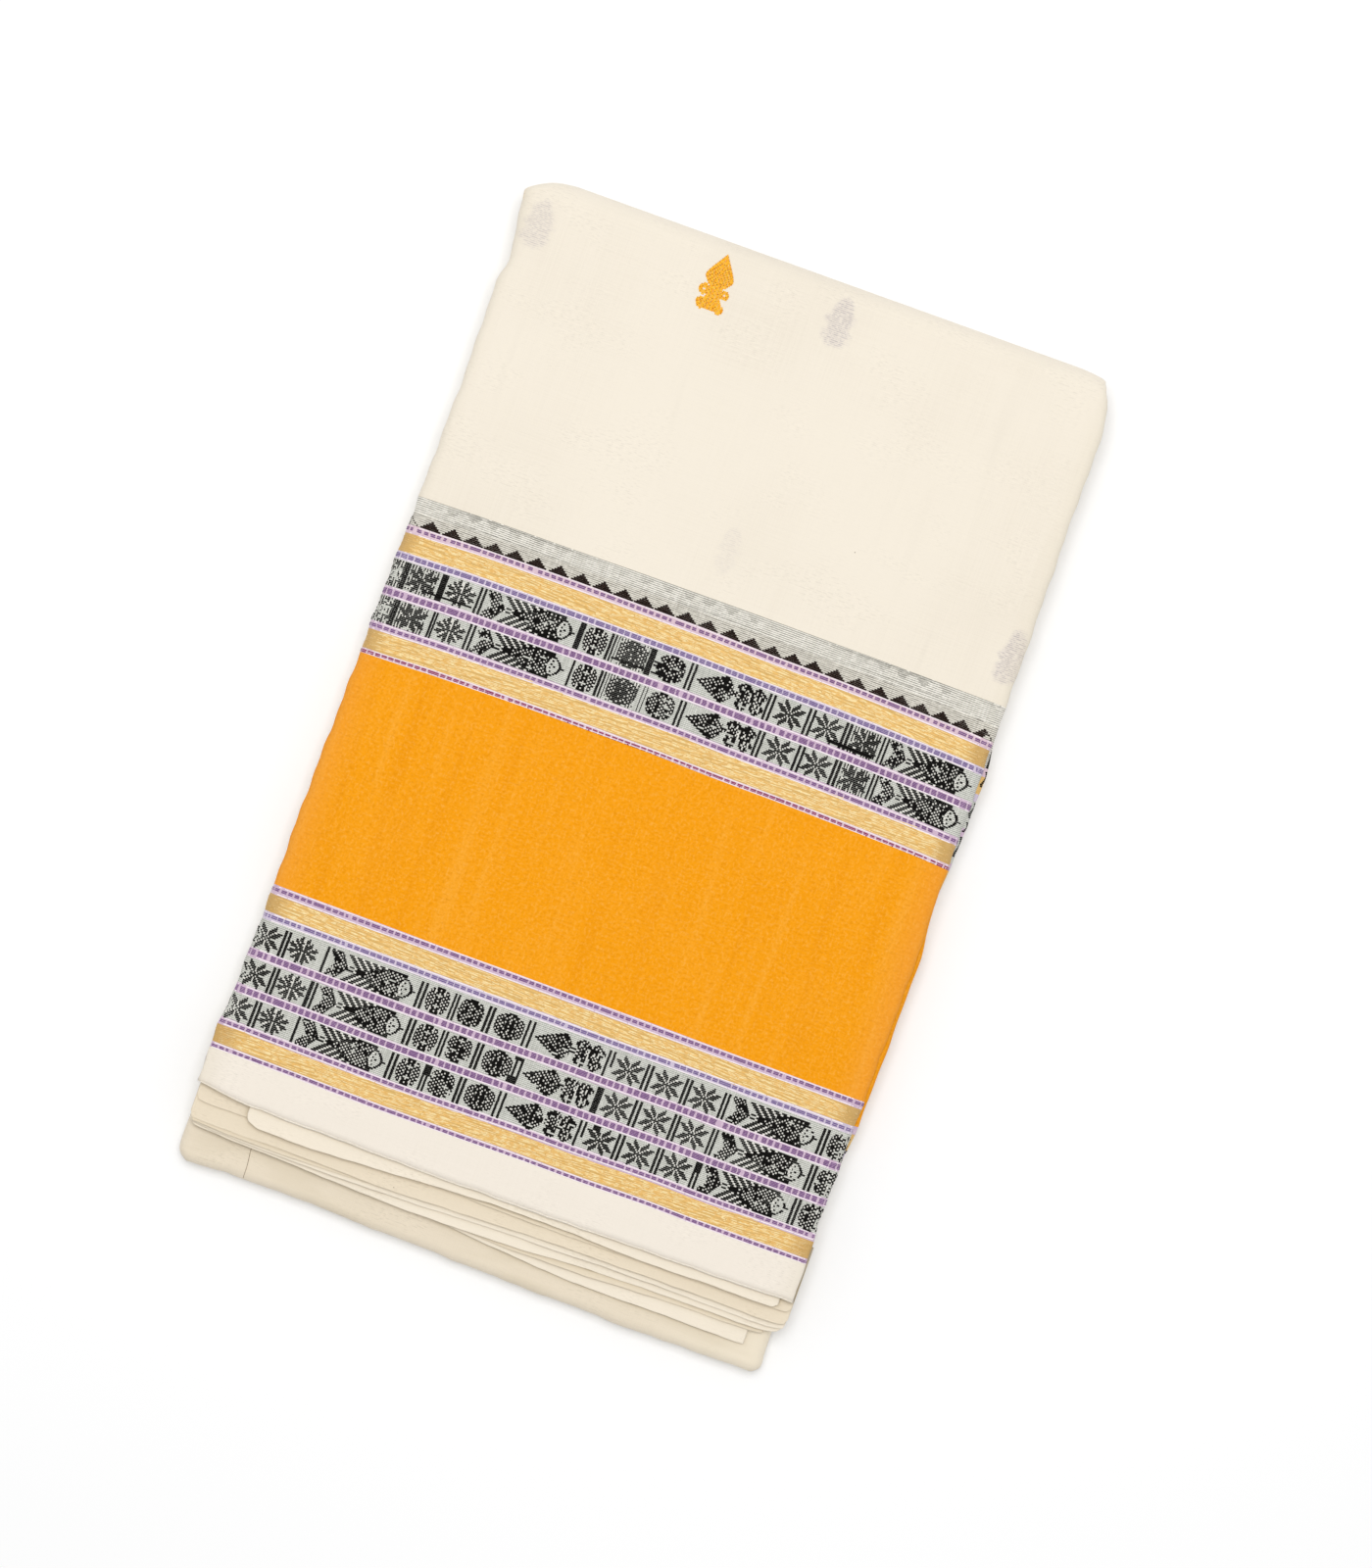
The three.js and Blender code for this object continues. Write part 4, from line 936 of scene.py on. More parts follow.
# ------------------------------------------------------------------ hidden layers: many small folds at the sides
def layered_block():
    """The layers inside, as one closed body whose sides are many thin folds."""
    def side(folds, edge, inward, direction, y, seed):
        pts = []
        for k, (z0, z1) in enumerate(folds):
            out = edge - direction * (0.35 + 0.55 * (0.5 + 0.5 * np.sin(seed + k * 2.4 + y / (37.0 + 5 * k))) + 0.2 * np.sin(y / 11.0 + k * 1.7 + seed))
            mid, half = (z0 + z1) / 2, (z1 - z0) / 2
            for a in (-80, -45, 0, 45, 80):
                pts.append((out - direction * 1.3 * (1 - np.cos(rad(a))), mid + half * 0.96 * np.sin(rad(a))))
        return pts

    ys = np.concatenate([TOP_Y - 1.2 - 1.3 * np.arange(12), np.linspace(274.5, -246, 110), [-249.3, -249.5, -256.0]])
    rings = []
    for y in ys:
        rollat = np.clip((y - Y_FLAT) / (TOP_ROLL - 0.9), 0, 0.999)
        lift = math.sqrt(1 - rollat ** 2)
        in_front = y > FRONT_END_Y
        el, er = float(look(REAR_EDGES, y, 1)), float(look(REAR_EDGES, y, 2))
        fl, fr = float(look(FRONT_EDGES, y, 1)), float(look(FRONT_EDGES, y, 2))
        tuck = 3.2 if y < -249.4 else 0.0     # the end lies inside the bottom turn
        el += tuck; er -= tuck
        full = float(ease((y - 262) / 14))    # at the top fold's corners the layers fill the fold
        fold_r = fr + min(float(look(FOLD_PROUD, y)), 0.0)
        rear_folds = [(2.0, 4.2), (4.25, 6.3), (6.35, 8.4), (8.45, 10.4), (10.45, 12.3)]
        front_folds = [(13.4, 15.5), (15.55, 17.6), (17.65, 19.6), (19.65, 21.6)] if in_front else [(12.31, 12.34), (12.35, 12.38), (12.39, 12.42), (12.43, 12.46)]
        right = side(rear_folds[:2], er - 2.4 + 1.9 * full, 8, 1, y, 0.0) + side(rear_folds[2:], er + 0.2, 8, 1, y, 1.3)
        left = side(rear_folds, el + 2.6 - 2.7 * full, 8, -1, y, 2.0)
        if in_front:
            right += side(front_folds, fold_r - 3.4 + 2.8 * full, 8, 1, y, 3.0)
            left += side(front_folds, fl + 3.4 - 3.4 * full, 8, -1, y, 4.0)
            top = 21.9
        else:
            right += side(front_folds, er - 6, 8, 1, y, 3.0)
            left += side(front_folds, el + 6, 8, -1, y, 4.0)
            top = 12.5
        section = [(el + 12, 1.2), (er - 12, 1.2)] + right + [(x, top) for x in np.linspace(er - 16, el + 16, 6)] + left[::-1]
        ring = []
        for x, z in section:
            s = float(swell(x, y)) if z > HALF_Z else 1.0
            ring.append((x, y, HALF_Z + (z - HALF_Z) * s * lift))
        rings.append(ring)
    n = len(rings[0])
    pts = [p for r in rings for p in r]
    faces = []
    for r in range(len(rings) - 1):
        for k in range(n):
            a, b = r * n + k, r * n + (k + 1) % n
            faces.append([a, a + n, b + n, b])
    faces.append([k for k in range(n)])
    faces.append([(len(rings) - 1) * n + k for k in range(n)][::-1])
    uv = np.array([[p[0] + p[2] * 1.0, p[1]] for p in pts]) / 1000.0
    bake = np.array([[(p[0] + 180) / 360, (p[1] + 300) / 600] for p in pts])
    ob = make_object("inner_layers_cloth", pts, faces, [MAT["inner"]], None, {"OFBake": bake, "Cloth": uv})
    return ob


inner = layered_block()

# ------------------------------------------------------------------ woven ornament, as thread floats
# A motif is a list of 15 rows, and a row is a list of dark spans (from, to) in layout steps.
ROWS = 15
ROW = 1.87                                   # height of one row
LATTICE = 4.2                                # pitch of the diagonal net inside a motif
BOLD = 5.2                                   # pitch of the bolder dashes in the rounds and the buds
CELL = 2.1

STAR_QUARTER = [
    "....#...",
    "....##..",
    "....###.",
    "###..###",
    ".####.##",
    "..####.#",
    "...####.",
]
# four rosettes round a crossing, behind the mango
ROSETTES = [
    "..####....###...",
    ".##.###..#####..",
    "##.##.##.#.#.##.",
    "##..#.#.##.##.##",
    ".#####..#.##.###",
    ".######.##.#.##.",
    "#.####.###.#.#..",
    "#######.#.#.##..",
    "#.#####.##.#.#..",
    ".######.###.#.#.",
    "..##.##..##.#.##",
    ".##..##..#.#.###",
    ".##......##.#.#.",
    "..##.##...#.##..",
    "...###.....##...",
]


def tidy(spans, gap=0.25):
    """Sorted, with touching spans joined."""
    out = []
    for a, b in sorted(s for s in spans if s[1] - s[0] > 0.5):
        if out and a <= out[-1][1] + gap:
            out[-1] = (out[-1][0], max(out[-1][1], b))
        else:
            out.append((a, b))
    return out


def cut(spans, a, b):
    """The spans with the stretch a..b taken out."""
    out = []
    for s, e in spans:
        if e <= a or s >= b:
            out.append((s, e))
        else:
            if s < a: out.append((s, a))
            if e > b: out.append((b, e))
    return out


def net(a, b, r, share=0.60, phase=0.0, pitch=LATTICE):
    s = phase + (pitch / 2 if r % 2 else 0.0)
    k = math.floor((a - s) / pitch) - 1
    out = []
    while s + k * pitch < b:
        x0, x1 = max(s + k * pitch, a), min(s + (k + share) * pitch, b)
        if x1 - x0 > 0.6:
            out.append((x0, x1))
        k += 1
    return out


def uneven(spans, rng):
    """Here and there two dashes of a net run together, or one is missed."""
    out = []
    for a, b in spans:
        if out and a - out[-1][1] < 2.2 and rng.random() < 0.20:
            out[-1] = (out[-1][0], b)
        elif b - a > 4.2 or rng.random() > 0.055:
            out.append((a, b))
    return out


def from_chart(rows, cell):
    out = []
    for row in rows:
        spans, c = [], 0
        while c < len(row):
            if row[c] == "#":
                d = c
                while d < len(row) and row[d] == "#":
                    d += 1
                spans.append(((c - 0.10) * cell, (d + 0.10) * cell))
                c = d
            else:
                c += 1
        out.append(spans)
    return out


# a broader star, drawn out sideways
BROAD_STAR = [
    "......#...#......",
    ".....##..##......",
    "...#.##..##.#....",
    "...##.##.#.##....",
    ".#..###..####..#.",
    "####.###.###.####",
    ".####.##.##.####.",
    "....#########....",
    ".#####.#.#.#####.",
    "####..##.##..####",
    "..#..###.###..#..",
    "....####.####....",
    "...##.##.##.##...",
    "......##.##......",
    "......#...#......",
]


def broad_star(wide=31.0):
    return [[(a - wide / 2, b - wide / 2) for a, b in r] for r in from_chart(BROAD_STAR, wide / 17.0)]


def star(wide=30.6):
    rows = [r + ("#" if k == 6 else ".") + r[::-1] for k, r in enumerate(STAR_QUARTER)]
    rows = rows + ["......#####......"] + rows[::-1]
    return [[(a - wide / 2, b - wide / 2) for a, b in r] for r in from_chart(rows, wide / 17.0)]


def disc(wide=26.5, kind="net"):
    rows = []
    for r in range(ROWS):
        d = abs(r - 7)
        half = wide / 2 * max(0.0, 1 - (d / 7.9) ** 2.4) ** (1 / 2.2)
        spans = net(-half, half, r, 0.70, phase=-0.35 * BOLD, pitch=BOLD)
        if d == 7:
            spans = [(-4.4, 4.4)]
        elif kind == "eye":
            if d == 0:
                spans = cut(spans, -4.4, 4.4) + [(-4.0, -1.0), (1.0, 4.0)]
            elif d == 1:
                spans = cut(spans, -4.2, 4.2) + [(-3.2, 3.2)]
            elif d == 3:
                spans = cut(spans, -3.0, 3.0)
            elif d == 5:
                spans = cut(spans, -6.0, 6.0) + [(-3.6, 3.6)]
        elif kind == "banded":
            if d in (0, 3):
                spans = cut(spans, -9.4, 9.4) + [(-9.0, -1.6), (-0.2, 8.4)]
            elif d == 1:
                spans = cut(spans, -5.6, 5.6) + [(-5.0, 5.0)]
            elif d == 6:
                spans = [(-8.6, -2.0), (-0.4, 8.0)]
        elif kind == "net" and d == 2:
            spans = cut(spans, -1.2, 1.2)
        rows.append(tidy(spans))
    return rows


def fish(wide=94.4):
    """Fish that looks to the right: net tail, feather strokes, net body, light head with an eye."""
    k = wide / 94.4
    rows = []
    for r in range(ROWS):
        d = abs(r - 7)
        spans = net(6.8 - 1.2 * d, 20.4 - 1.3 * d, r, 0.68, pitch=4.6) + [(19.4 - 1.3 * d, 21.4 - 1.3 * d)]
        body = 30.4 + 4.55 * d
        tip = 91.2 - 0.27 * d * d
        gill = 76.4 + 0.16 * d * d
        for n in range(12):
            a = 24.1 + 8.4 * n - 2.1 * d
            if d and a > 22.6 - 1.3 * d and a + 4.0 < body - 0.6:
                spans.append((a, a + 5.6))
            elif d and a < body - 0.6 < a + 4.0 and a > 22.6 - 1.3 * d:
                spans.append((a, body - 0.9))
        if d == 0:
            spans += [(28.6, 33.2)]
        if body < tip - 3:
            spans += net(body, min(gill, tip - 3.2), r, 0.66, pitch=4.6)
            spans.append((body - 1.2, body + 3.6))
            spans.append((max(tip - (2.8 if d < 5 else 4.6), body), tip))
            if 0 < d < 5:
                spans.append((min(gill, tip - 3.0) - 2.1, min(gill, tip - 3.0)))
                if d in (1, 3):
                    spans.append((gill + 2.6, gill + 4.4))
        if d == 7:
            spans += [(63.0, 70.5), (72.5, 81.6)]
        if d == 0:
            spans += [(82.4, 85.0), (88.4, 94.4)]
        rows.append([(a * k, b * k) for a, b in tidy(spans, 0.5)])
    return rows


def mango(wide=74.6):
    k = wide / 74.6
    rows = []
    behind = from_chart(ROSETTES, CELL)
    for r in range(ROWS):
        d = abs(r - 7)
        left = 3.5 * d + 0.05 * d * d
        right = 42.0 - 0.2 * d * d
        spans = net(left, right - 1.4, r, 0.70, phase=0.4 * d, pitch=BOLD) if d else [(0.0, 4.6)] + net(6.4, right - 1.4, r, 0.70, pitch=BOLD)
        if d:
            spans.append((left - 0.4, left + 2.6))
        if d >= 6:
            spans.append((left, right - 0.6))
        for a, b in behind[r]:
            a, b = 42.2 + a * 0.965, 42.2 + b * 0.965
            spans += net(a, b, r, 0.74, phase=0.6, pitch=BOLD) if b - a > 5.4 else [(a, b)]
        rows.append([(a * k, b * k) for a, b in tidy(spans)])
    return rows


def dense(rows, half, share=0.42, seed=0):
    """A motif whose ground is filled too, where the shuttle has gone over and under by ones."""
    rng = np.random.default_rng(seed)
    out = []
    for r, spans in enumerate(rows):
        fill = []
        x = -half
        while x < half:
            if rng.random() < 0.80:
                fill.append((x, x + 4.2 * share))
            x += 3.0
        out.append(tidy(spans + fill, 0.7))
    return out


def motif_row(fl, layout, top, shift=(0.0, 0.0), height=28.0, high=0.16, seed=0, skew=0.10, pale=None):
    """Floats of one border row. top(u) is the level of the row's upper edge."""
    rng = np.random.default_rng(seed)
    pitch = height / ROWS

    def level(r):
        return lambda p: -(top(np.asarray(p) / PX - 2) + (r + 0.5) * pitch + 1) * PX

    def put(a, b, r, share=1.06, to=None, tall=1.0):
        a, b = max(a, -336.0), min(b, 334.0)
        if b - a > 0.7:
            (to or fl).run(at_u(a), at_u(b), level(r), pitch * PX * share, high * tall, soft=0.13, taper=0.55, step=9.0)

    for item in layout:
        kind, u = item[0], item[1]
        u = u + shift[0] + shift[1] * u / 320.0
        if kind == "bar":
            wide = item[2] if len(item) > 2 else 3.0
            r0, r1 = item[3] if len(item) > 3 else (0, ROWS)
            for r in range(r0, r1):
                j = rng.normal(0, 0.10) + skew * (7 - r) * 0.5
                put(u - wide / 2 + j, u + wide / 2 + j + rng.normal(0, 0.06), r, 1.02)
            continue
        if kind == "streak":
            put(u, u + item[2], item[3], 1.1)
            continue
        rows = {"star": lambda: star(), "broad": lambda: broad_star(), "eye": lambda: disc(24.6, "eye"), "disc": lambda: disc(27.0),
                "wide_disc": lambda: disc(30.0), "banded": lambda: disc(31.6, "banded"),
                "fish": lambda: fish(item[2] if len(item) > 2 else 94.4), "mango": lambda: mango(),
                "dense_star": lambda: dense(star(), 14.6, 0.40, seed + int(abs(u))),
                "dense_banded": lambda: dense(disc(31.0, "banded"), 15.4, 0.34, seed + int(abs(u)))}[kind]()
        for r, spans in enumerate(rows):
            lean = skew * (7 - r) * 0.5
            if kind in ("disc", "wide_disc", "mango", "fish"):
                spans = uneven(spans, rng)
            for a, b in spans:
                solid = kind in ("star", "broad") or kind.startswith("dense") or (kind == "fish" and 4.6 < b - a < 6.4)
                loose = 0.24 if b - a < 3.2 else 0.10         # single stitches of a net vary most
                put(u + lean + a + rng.normal(0, loose), u + lean + b + rng.normal(0, loose), r,
                    0.95 if solid else rng.uniform(0.98, 1.24))
            if pale is not None:              # where the net opens, the pale threads stand up
                for (a0, b0), (a1, b1) in zip(spans[:-1], spans[1:]):
                    if 0.9 < a1 - b0 < 3.4:
                        put(u + lean + b0 + 0.12, u + lean + a1 - 0.12, r, 0.80, pale, 0.75)


# a motif or bar and its place; fish and mango are placed by their left end
ROW_A = [
    ("star", -311.5), ("bar", -293.6), ("bar", -289.0), ("broad", -271.5), ("bar", -247.4, 2.8), ("fish", -243.3),
    ("bar", -145.2), ("bar", -140.2), ("eye", -124.8), ("bar", -109.1, 2.4), ("bar", -105.1, 2.4), ("disc", -88.9),
    ("bar", -71.4), ("bar", -66.8), ("banded", -47.1), ("bar", -28.7, 2.6), ("bar", -23.1, 2.6), ("mango", -19.0),
    ("bar", 59.0, 2.6), ("bar", 64.0, 2.6, (0, 9)), ("star", 82.6), ("bar", 100.5), ("bar", 105.6), ("star", 124.4),
    ("bar", 142.9), ("bar", 147.6), ("star", 165.2), ("bar", 184.4, 2.6), ("bar", 188.8, 2.6), ("fish", 193.4),
    ("bar", 291.6), ("bar", 296.4), ("disc", 312.8),
]
ROW_B = [i for i in ROW_A if i[:2] not in (("bar", 59.0), ("bar", 64.0))] + [
    ("bar", 61.6, 7.2), ("bar", -252.6, 4.2), ("bar", -28.0, 9.4, (11, 15)), ("bar", -28.0, 7.6, (0, 2))]
ROW_C = ROW_A + [("bar", -106.2, 7.6, (0, 6)), ("bar", 187.0, 7.0, (0, 6)), ("bar", 76.0, 8.0, (0, 3))]
ROW_U = [
    ("dense_star", -319.6), ("bar", -304.4, 2.2), ("bar", -301.8), ("dense_star", -284.4), ("broad", -243.0), ("bar", -224.4, 2.6),
    ("bar", -219.8, 2.6), ("fish", -217.2, 97.6), ("eye", -97.6), ("bar", -82.4), ("bar", -78.6, 2.0), ("bar", -75.2, 1.0),
    ("dense_banded", -57.6), ("wide_disc", -15.4), ("bar", 4.0, 2.6), ("bar", 8.6, 2.6), ("mango", 12.9), ("bar", 89.6, 2.8),
    ("bar", 94.4, 2.8), ("star", 114.0), ("bar", 133.0, 2.8), ("bar", 138.0, 2.8), ("star", 155.0), ("bar", 173.2, 3.2),
    ("bar", 177.8, 3.2), ("dense_star", 196.0), ("bar", 214.2, 2.2), ("bar", 218.5, 2.2), ("fish", 220.6, 92.5),
]
ROW_U1 = ROW_U + [("bar", -263.4, 7.0), ("bar", -114.6, 6.0), ("bar", -37.6, 6.4), ("streak", -281, 53, 12), ("streak", -77, 36, 12),
                  ("streak", -34, 30, 12), ("streak", -34, 9, 6), ("streak", -34, 9, 8), ("streak", 158, 52, 12), ("streak", 160, 48, 13)]
ROW_U2 = ROW_U + [("bar", -263.6, 2.4), ("bar", -260.6, 2.0), ("bar", -112.8, 2.4), ("bar", -36.5, 1.0), ("bar", -33.0, 1.0)]

pale_net = Floats(front_point)
black_low = Floats(front_point)
motif_row(black_low, ROW_A, low(12.0), seed=1, pale=pale_net)
motif_row(black_low, ROW_B, low(51.3), shift=(0.9, -0.4), seed=2, pale=pale_net)
motif_row(black_low, ROW_C, low(89.9), shift=(-4.0, 0.4), seed=3, pale=pale_net)
black_low = black_low.build("lower_motif_threads", MAT["black"])

black_up = Floats(front_point)
motif_row(black_up, ROW_U1, up(9.0), seed=4, height=28.2, pale=pale_net)
motif_row(black_up, ROW_U2, up(48.2), shift=(2.1, 0.0), seed=5, height=27.5, pale=pale_net)
black_up = black_up.build("upper_motif_threads", MAT["black"])
pale_net = pale_net.build("pale_net_threads", MAT["pale_thread"])

# temple points: stepped triangles that stand on the first stripe and point up the body
temple = Floats(front_point)
base = between(-161.4, -154.3)
for k in range(28):
    u = -318.5 + 23.2 * k + 1.2 * math.sin(k * 0.9)
    for r, wide in enumerate((21.4, 16.6, 11.8, 7.2, 3.0)):
        a, b = max(u - wide / 2, -331.0), min(u + wide / 2, 316.0)
        if b - a > 1:
            temple.run(at_u(a), at_u(b), (lambda p, r=r: -(base(np.asarray(p) / PX - 2) - (r + 0.55) * 1.84 + 1) * PX), 1.84 * PX * 1.02, 0.16, soft=0.18)
temple = temple.build("temple_point_threads", MAT["brown_black"])


# coloured stripes: short dashes in two or four threads, with an odd longer one
def dashes(fl, line, rows, row_pitch, first, pitch=7.05, dash=5.1, start=-329.0, end=323.0, long_at=(), seed=0, high=0.13, shift=0.0):
    rng = np.random.default_rng(seed)
    u = start + rng.uniform(0, 4)
    while u < end:
        wide = dash * (1 + rng.normal(0, 0.06))
        step = pitch * (1 + rng.normal(0, 0.02))
        for lu, lw in long_at:
            if abs(u + lw / 2 - (lu + shift)) < pitch * 0.75:
                wide = lw
                step = lw + (pitch - dash)
                break
        if rng.random() < 0.04:
            wide *= 0.55
        for r in range(rows):
            j = rng.normal(0, 0.16)
            a, b = u + j, min(u + wide + j + rng.normal(0, 0.1), end + 1)
            if b - a > 0.8:
                fl.run(at_u(a), at_u(b), (lambda p, r=r: -(line(np.asarray(p) / PX - 2) + first + (r + 0.5) * row_pitch + 1) * PX), row_pitch * PX * 0.84, high, soft=0.14)
        u += step


LONG = [(-271.5, 11.5), (-155.5, 8.5), (-124.0, 9.4), (-49.5, 9.4), (39.5, 11.5), (185.0, 13.0), (-208.0, 9.0), (110.0, 9.0), (262.0, 9.0)]
purple = Floats(front_point)
dashes(purple, up(40.3), 4, 1.42, 0.0, long_at=LONG, shift=28, seed=11)
dashes(purple, low(42.1), 4, 1.46, 0.0, long_at=LONG, seed=12)
dashes(purple, low(81.7), 4, 1.46, 0.0, long_at=LONG, shift=-1, seed=13)
dashes(purple, up(78.6), 2, 1.75, 0.0, long_at=LONG, shift=28, seed=14)
dashes(purple, between(236.0, 240.5), 2, 1.70, 0.0, long_at=LONG, seed=15)
dashes(purple, low(120.0), 2, 1.70, 0.0, long_at=LONG, shift=-3, seed=16)
dashes(purple, between(407.8, 411.6), 2, 1.50, 0.0, long_at=LONG, shift=-4, seed=17)
dashes(purple, between(-159.4, -152.1), 2, 1.75, 0.0, long_at=LONG, shift=28, seed=20)
purple = purple.build("purple_dash_threads", MAT["purple"])
violet = Floats(front_point)
dashes(violet, up(1.9), 3, 1.55, 0.0, dash=5.6, long_at=LONG, shift=28, seed=18)
dashes(violet, low(2.6), 2, 1.85, 0.0, dash=5.6, long_at=LONG, seed=19)
violet = violet.build("violet_dash_threads", MAT["violet"])


def pale_line(fl, line, wide=1.3, seed=0, start=-333.0, end=327.0):
    rng = np.random.default_rng(seed)
    u = start
    while u < end:
        v = min(u + rng.uniform(20, 44), end)
        fl.run(at_u(u), at_u(v - 0.6), (lambda p, line=line: -(line(np.asarray(p) / PX - 2) + 1) * PX), wide * PX * 0.86, 0.14, soft=0.3, taper=0.5)
        u = v


pale = Floats(front_point)
for k, (line, wide) in enumerate((
        (between(-160.7, -153.5), 1.4), (between(-153.4, -146.3), 1.5),
        (up(0.7), 1.3), (up(7.3), 1.5), (up(38.8), 1.5), (up(47.0), 1.6), (up(77.2), 1.4), (up(84.0), 1.5), (up(106.0), 1.3),
        (between(-22.8, -16.9), 1.1), (between(234.5, 239.4), 1.4), (between(242.1, 246.6), 1.5),
        (low(1.1), 1.6), (low(8.0), 1.4), (low(41.0), 1.5), (low(49.1), 1.6), (low(80.5), 1.5), (low(88.4), 1.5),
        (low(118.6), 1.5), (low(124.6), 1.5), (between(406.7, 410.6), 1.5), (between(411.6, 415.1), 1.2))):
    pale_line(pale, line, wide, 50 + k)
pale = pale.build("pink_white_line_threads", MAT["pink_thread"])
magenta = Floats(front_point)
dashes(magenta, up(106.9), 2, 1.85, 0.0, dash=5.4, long_at=LONG, shift=28, seed=21)
magenta = magenta.build("magenta_dash_threads", MAT["magenta"])

# gold bands: lines of metal thread, bound down in slanted steps that read as chevrons
zari = Floats(front_point)


def gold_band(fl, top, bottom, lines, seed, way=1):
    rng = np.random.default_rng(seed)
    for i in range(lines):
        t = (i + 0.5) / lines
        line = between(top[0] + (bottom[0] - top[0]) * t, top[1] + (bottom[1] - top[1]) * t)
        u = -333.0 - rng.uniform(0, 6)
        while u < 328:
            wide = rng.choice([8.0, 14.0, 24.0, 40.0], p=[0.24, 0.34, 0.26, 0.16])
            a, b = max(u, -332), min(u + wide, 329)
            if b - a > 0.8:
                slant = way * 0.13 * (rng.random() < 0.5)
                fl.run(at_u(a), at_u(b), (lambda p, line=line, slant=slant, a=a: -(line(np.asarray(p) / PX - 2) + 1 + slant * (np.asarray(p) / PX - 2 - a) / 2) * PX),
                       (bottom[0] - top[0]) / lines * PX * 0.76, 0.08 + rng.uniform(0, 0.07), soft=0.20, taper=0.45, step=9.0)
            u += wide + 0.55


gold_band(zari, (-152.2, -145.0), (-133.2, -127.2), 13, 31)
gold_band(zari, (-47.6, -42.2), (-28.0, -22.2), 13, 32, way=-1)
gold_band(zari, (243.5, 247.9), (260.9, 265.6), 12, 33)
gold_band(zari, (387.6, 391.8), (405.3, 409.3), 12, 34, way=-1)
zari = zari.build("gold_band_threads", MAT["zari"])

# faint grey steps along the top of the pinstripe band: the temple points of the leaf below show through
ghost = Floats(front_point)
line = between(-190.4, -190.8)
for k in range(28):
    u = -303.0 + 23.3 * k + 1.5 * math.sin(k * 1.3)
    for r, wide in enumerate((17.0, 12.5, 9.5, 6.0)):
        a, b = max(u - wide / 2 + math.sin(k * 2.1 + r), -322.0), min(u + wide / 2 + math.cos(k * 1.7 + 2 * r), 314.0)
        if b - a > 2:
            ghost.run(at_u(a), at_u(b), (lambda p, r=r: -(line(np.asarray(p) / PX - 2) + 1.2 + (r + 0.5) * 2.0 + 1) * PX), 0.36, 0.04, soft=0.3)
for off, wide in ((0.4, 0.42), (2.5, 0.26), (14.6, 0.30)):
    x = -326.0
    while x < 316:
        e = min(x + RNG.uniform(10, 40), 318)
        ghost.run(at_u(x), at_u(e), (lambda p, off=off: -(line(np.asarray(p) / PX - 2) + off + 1) * PX), wide, 0.04, soft=0.3)
        x = e + RNG.uniform(0.5, 3)
ghost = ghost.build("pinstripe_band_threads", MAT["ghost_thread"])

# the border of the second fold, which shows as a narrow strip past the front leaf's right edge
fold_black = Floats(fold_point)
for w0, w1, a0, kind in ((-143, -124, 0.0, "step"), (-121, -104, 0.3, "vee"), (-87, -69, 0.5, "vee"), (-66, -53, 0.1, "vee"),
                         (-50, -27, 0.2, "vee"), (292, 297, 0.0, "step"),
                         (303, 317, 0.5, "vee"), (330, 345, 0.1, "vee"), (361, 378, 0.4, "step")):
    n = int((w1 - w0) / 1.87)
    for r in range(n):
        t = (r + 0.5) / n
        deep = 2.6 * abs((2 * t + a0) % 2 - 1) if kind == "vee" else 2.2 * t
        fold_black.run(-1.4 - deep, 0.6 - deep, (lambda p, w=w0 + 1.87 * (r + 0.5): -(w + 1) * PX + 0 * np.asarray(p)), 0.92, 0.14, soft=0.15, step=1.2)
fold_black = fold_black.build("second_fold_motif_threads", MAT["black"])


# the small leaf motif on the body: a veined leaf on a broad stem, a ring at each side and two lobes at its foot
LEAF_HALF = np.array([[0, 0.45], [2.1, 1.7], [4.8, 3.4], [7.5, 5.2], [9.9, 6.6], [11.5, 7.4], [13.2, 8.0],
                      [14.5, 7.7], [15.8, 6.7], [17.2, 5.6], [18.6, 4.5]])


def leaf_motif():
    """Rows from the tip down: (height above the foot, spans of the fill, dark ticks), mm."""
    rows = []
    for r in range(34):
        y = 33.0 - r * 0.98
        t = 33.0 - y
        fill, dark = [], []
        if t <= 18.6:
            half = float(look(LEAF_HALF, t))
            fill.append((-half, half))
            if r % 2:
                dark += [(-half + 0.05, -half + 0.8), (half - 0.8, half - 0.05)]
            for n in range(7):
                d = (t - 1.6 - n * 2.7) * 0.80
                if 0.7 < d < half - 1.3:
                    dark += [(-d - 0.42, -d + 0.36), (d - 0.36, d + 0.42)]
            if r % 3 == 0 and t > 3:
                dark.append((-0.35, 0.35))
        if 1.6 < y < 17.0:
            foot = 2.6 * float(ease((9.5 - y) / 6.0))          # the stem widens towards its foot
            fill.append((-4.0 - foot, 3.8 + foot))
            dark += [(-2.6, -1.9), (1.7, 2.4)] if r % 2 else [(-0.4, 0.3)]
        for cx, cy, ro, ri in ((-6.1, 11.5, 3.1, 0.75), (5.6, 11.2, 2.7, 0.65), (-4.9, 3.7, 3.1, 0.0), (5.2, 2.9, 2.6, 0.0), (-6.6, 4.6, 2.0, 0.0)):
            dy = y - cy
            if abs(dy) < ro:
                w = math.sqrt(ro * ro - dy * dy)
                if abs(dy) < ri:
                    v = math.sqrt(ri * ri - dy * dy)
                    fill += [(cx - w, cx - v), (cx + v, cx + w)]
                else:
                    fill.append((cx - w, cx + w))
                if r % 2 == 0:
                    dark += [(cx - w + 0.1, cx - w + 0.8), (cx + w - 0.8, cx + w - 0.1)]
                elif abs(dy) < 1.6:
                    dark += [(cx - 1.5, cx - 0.9), (cx + 0.9, cx + 1.5)]
        rows.append((y, tidy(fill, 0.12), dark))
    return rows


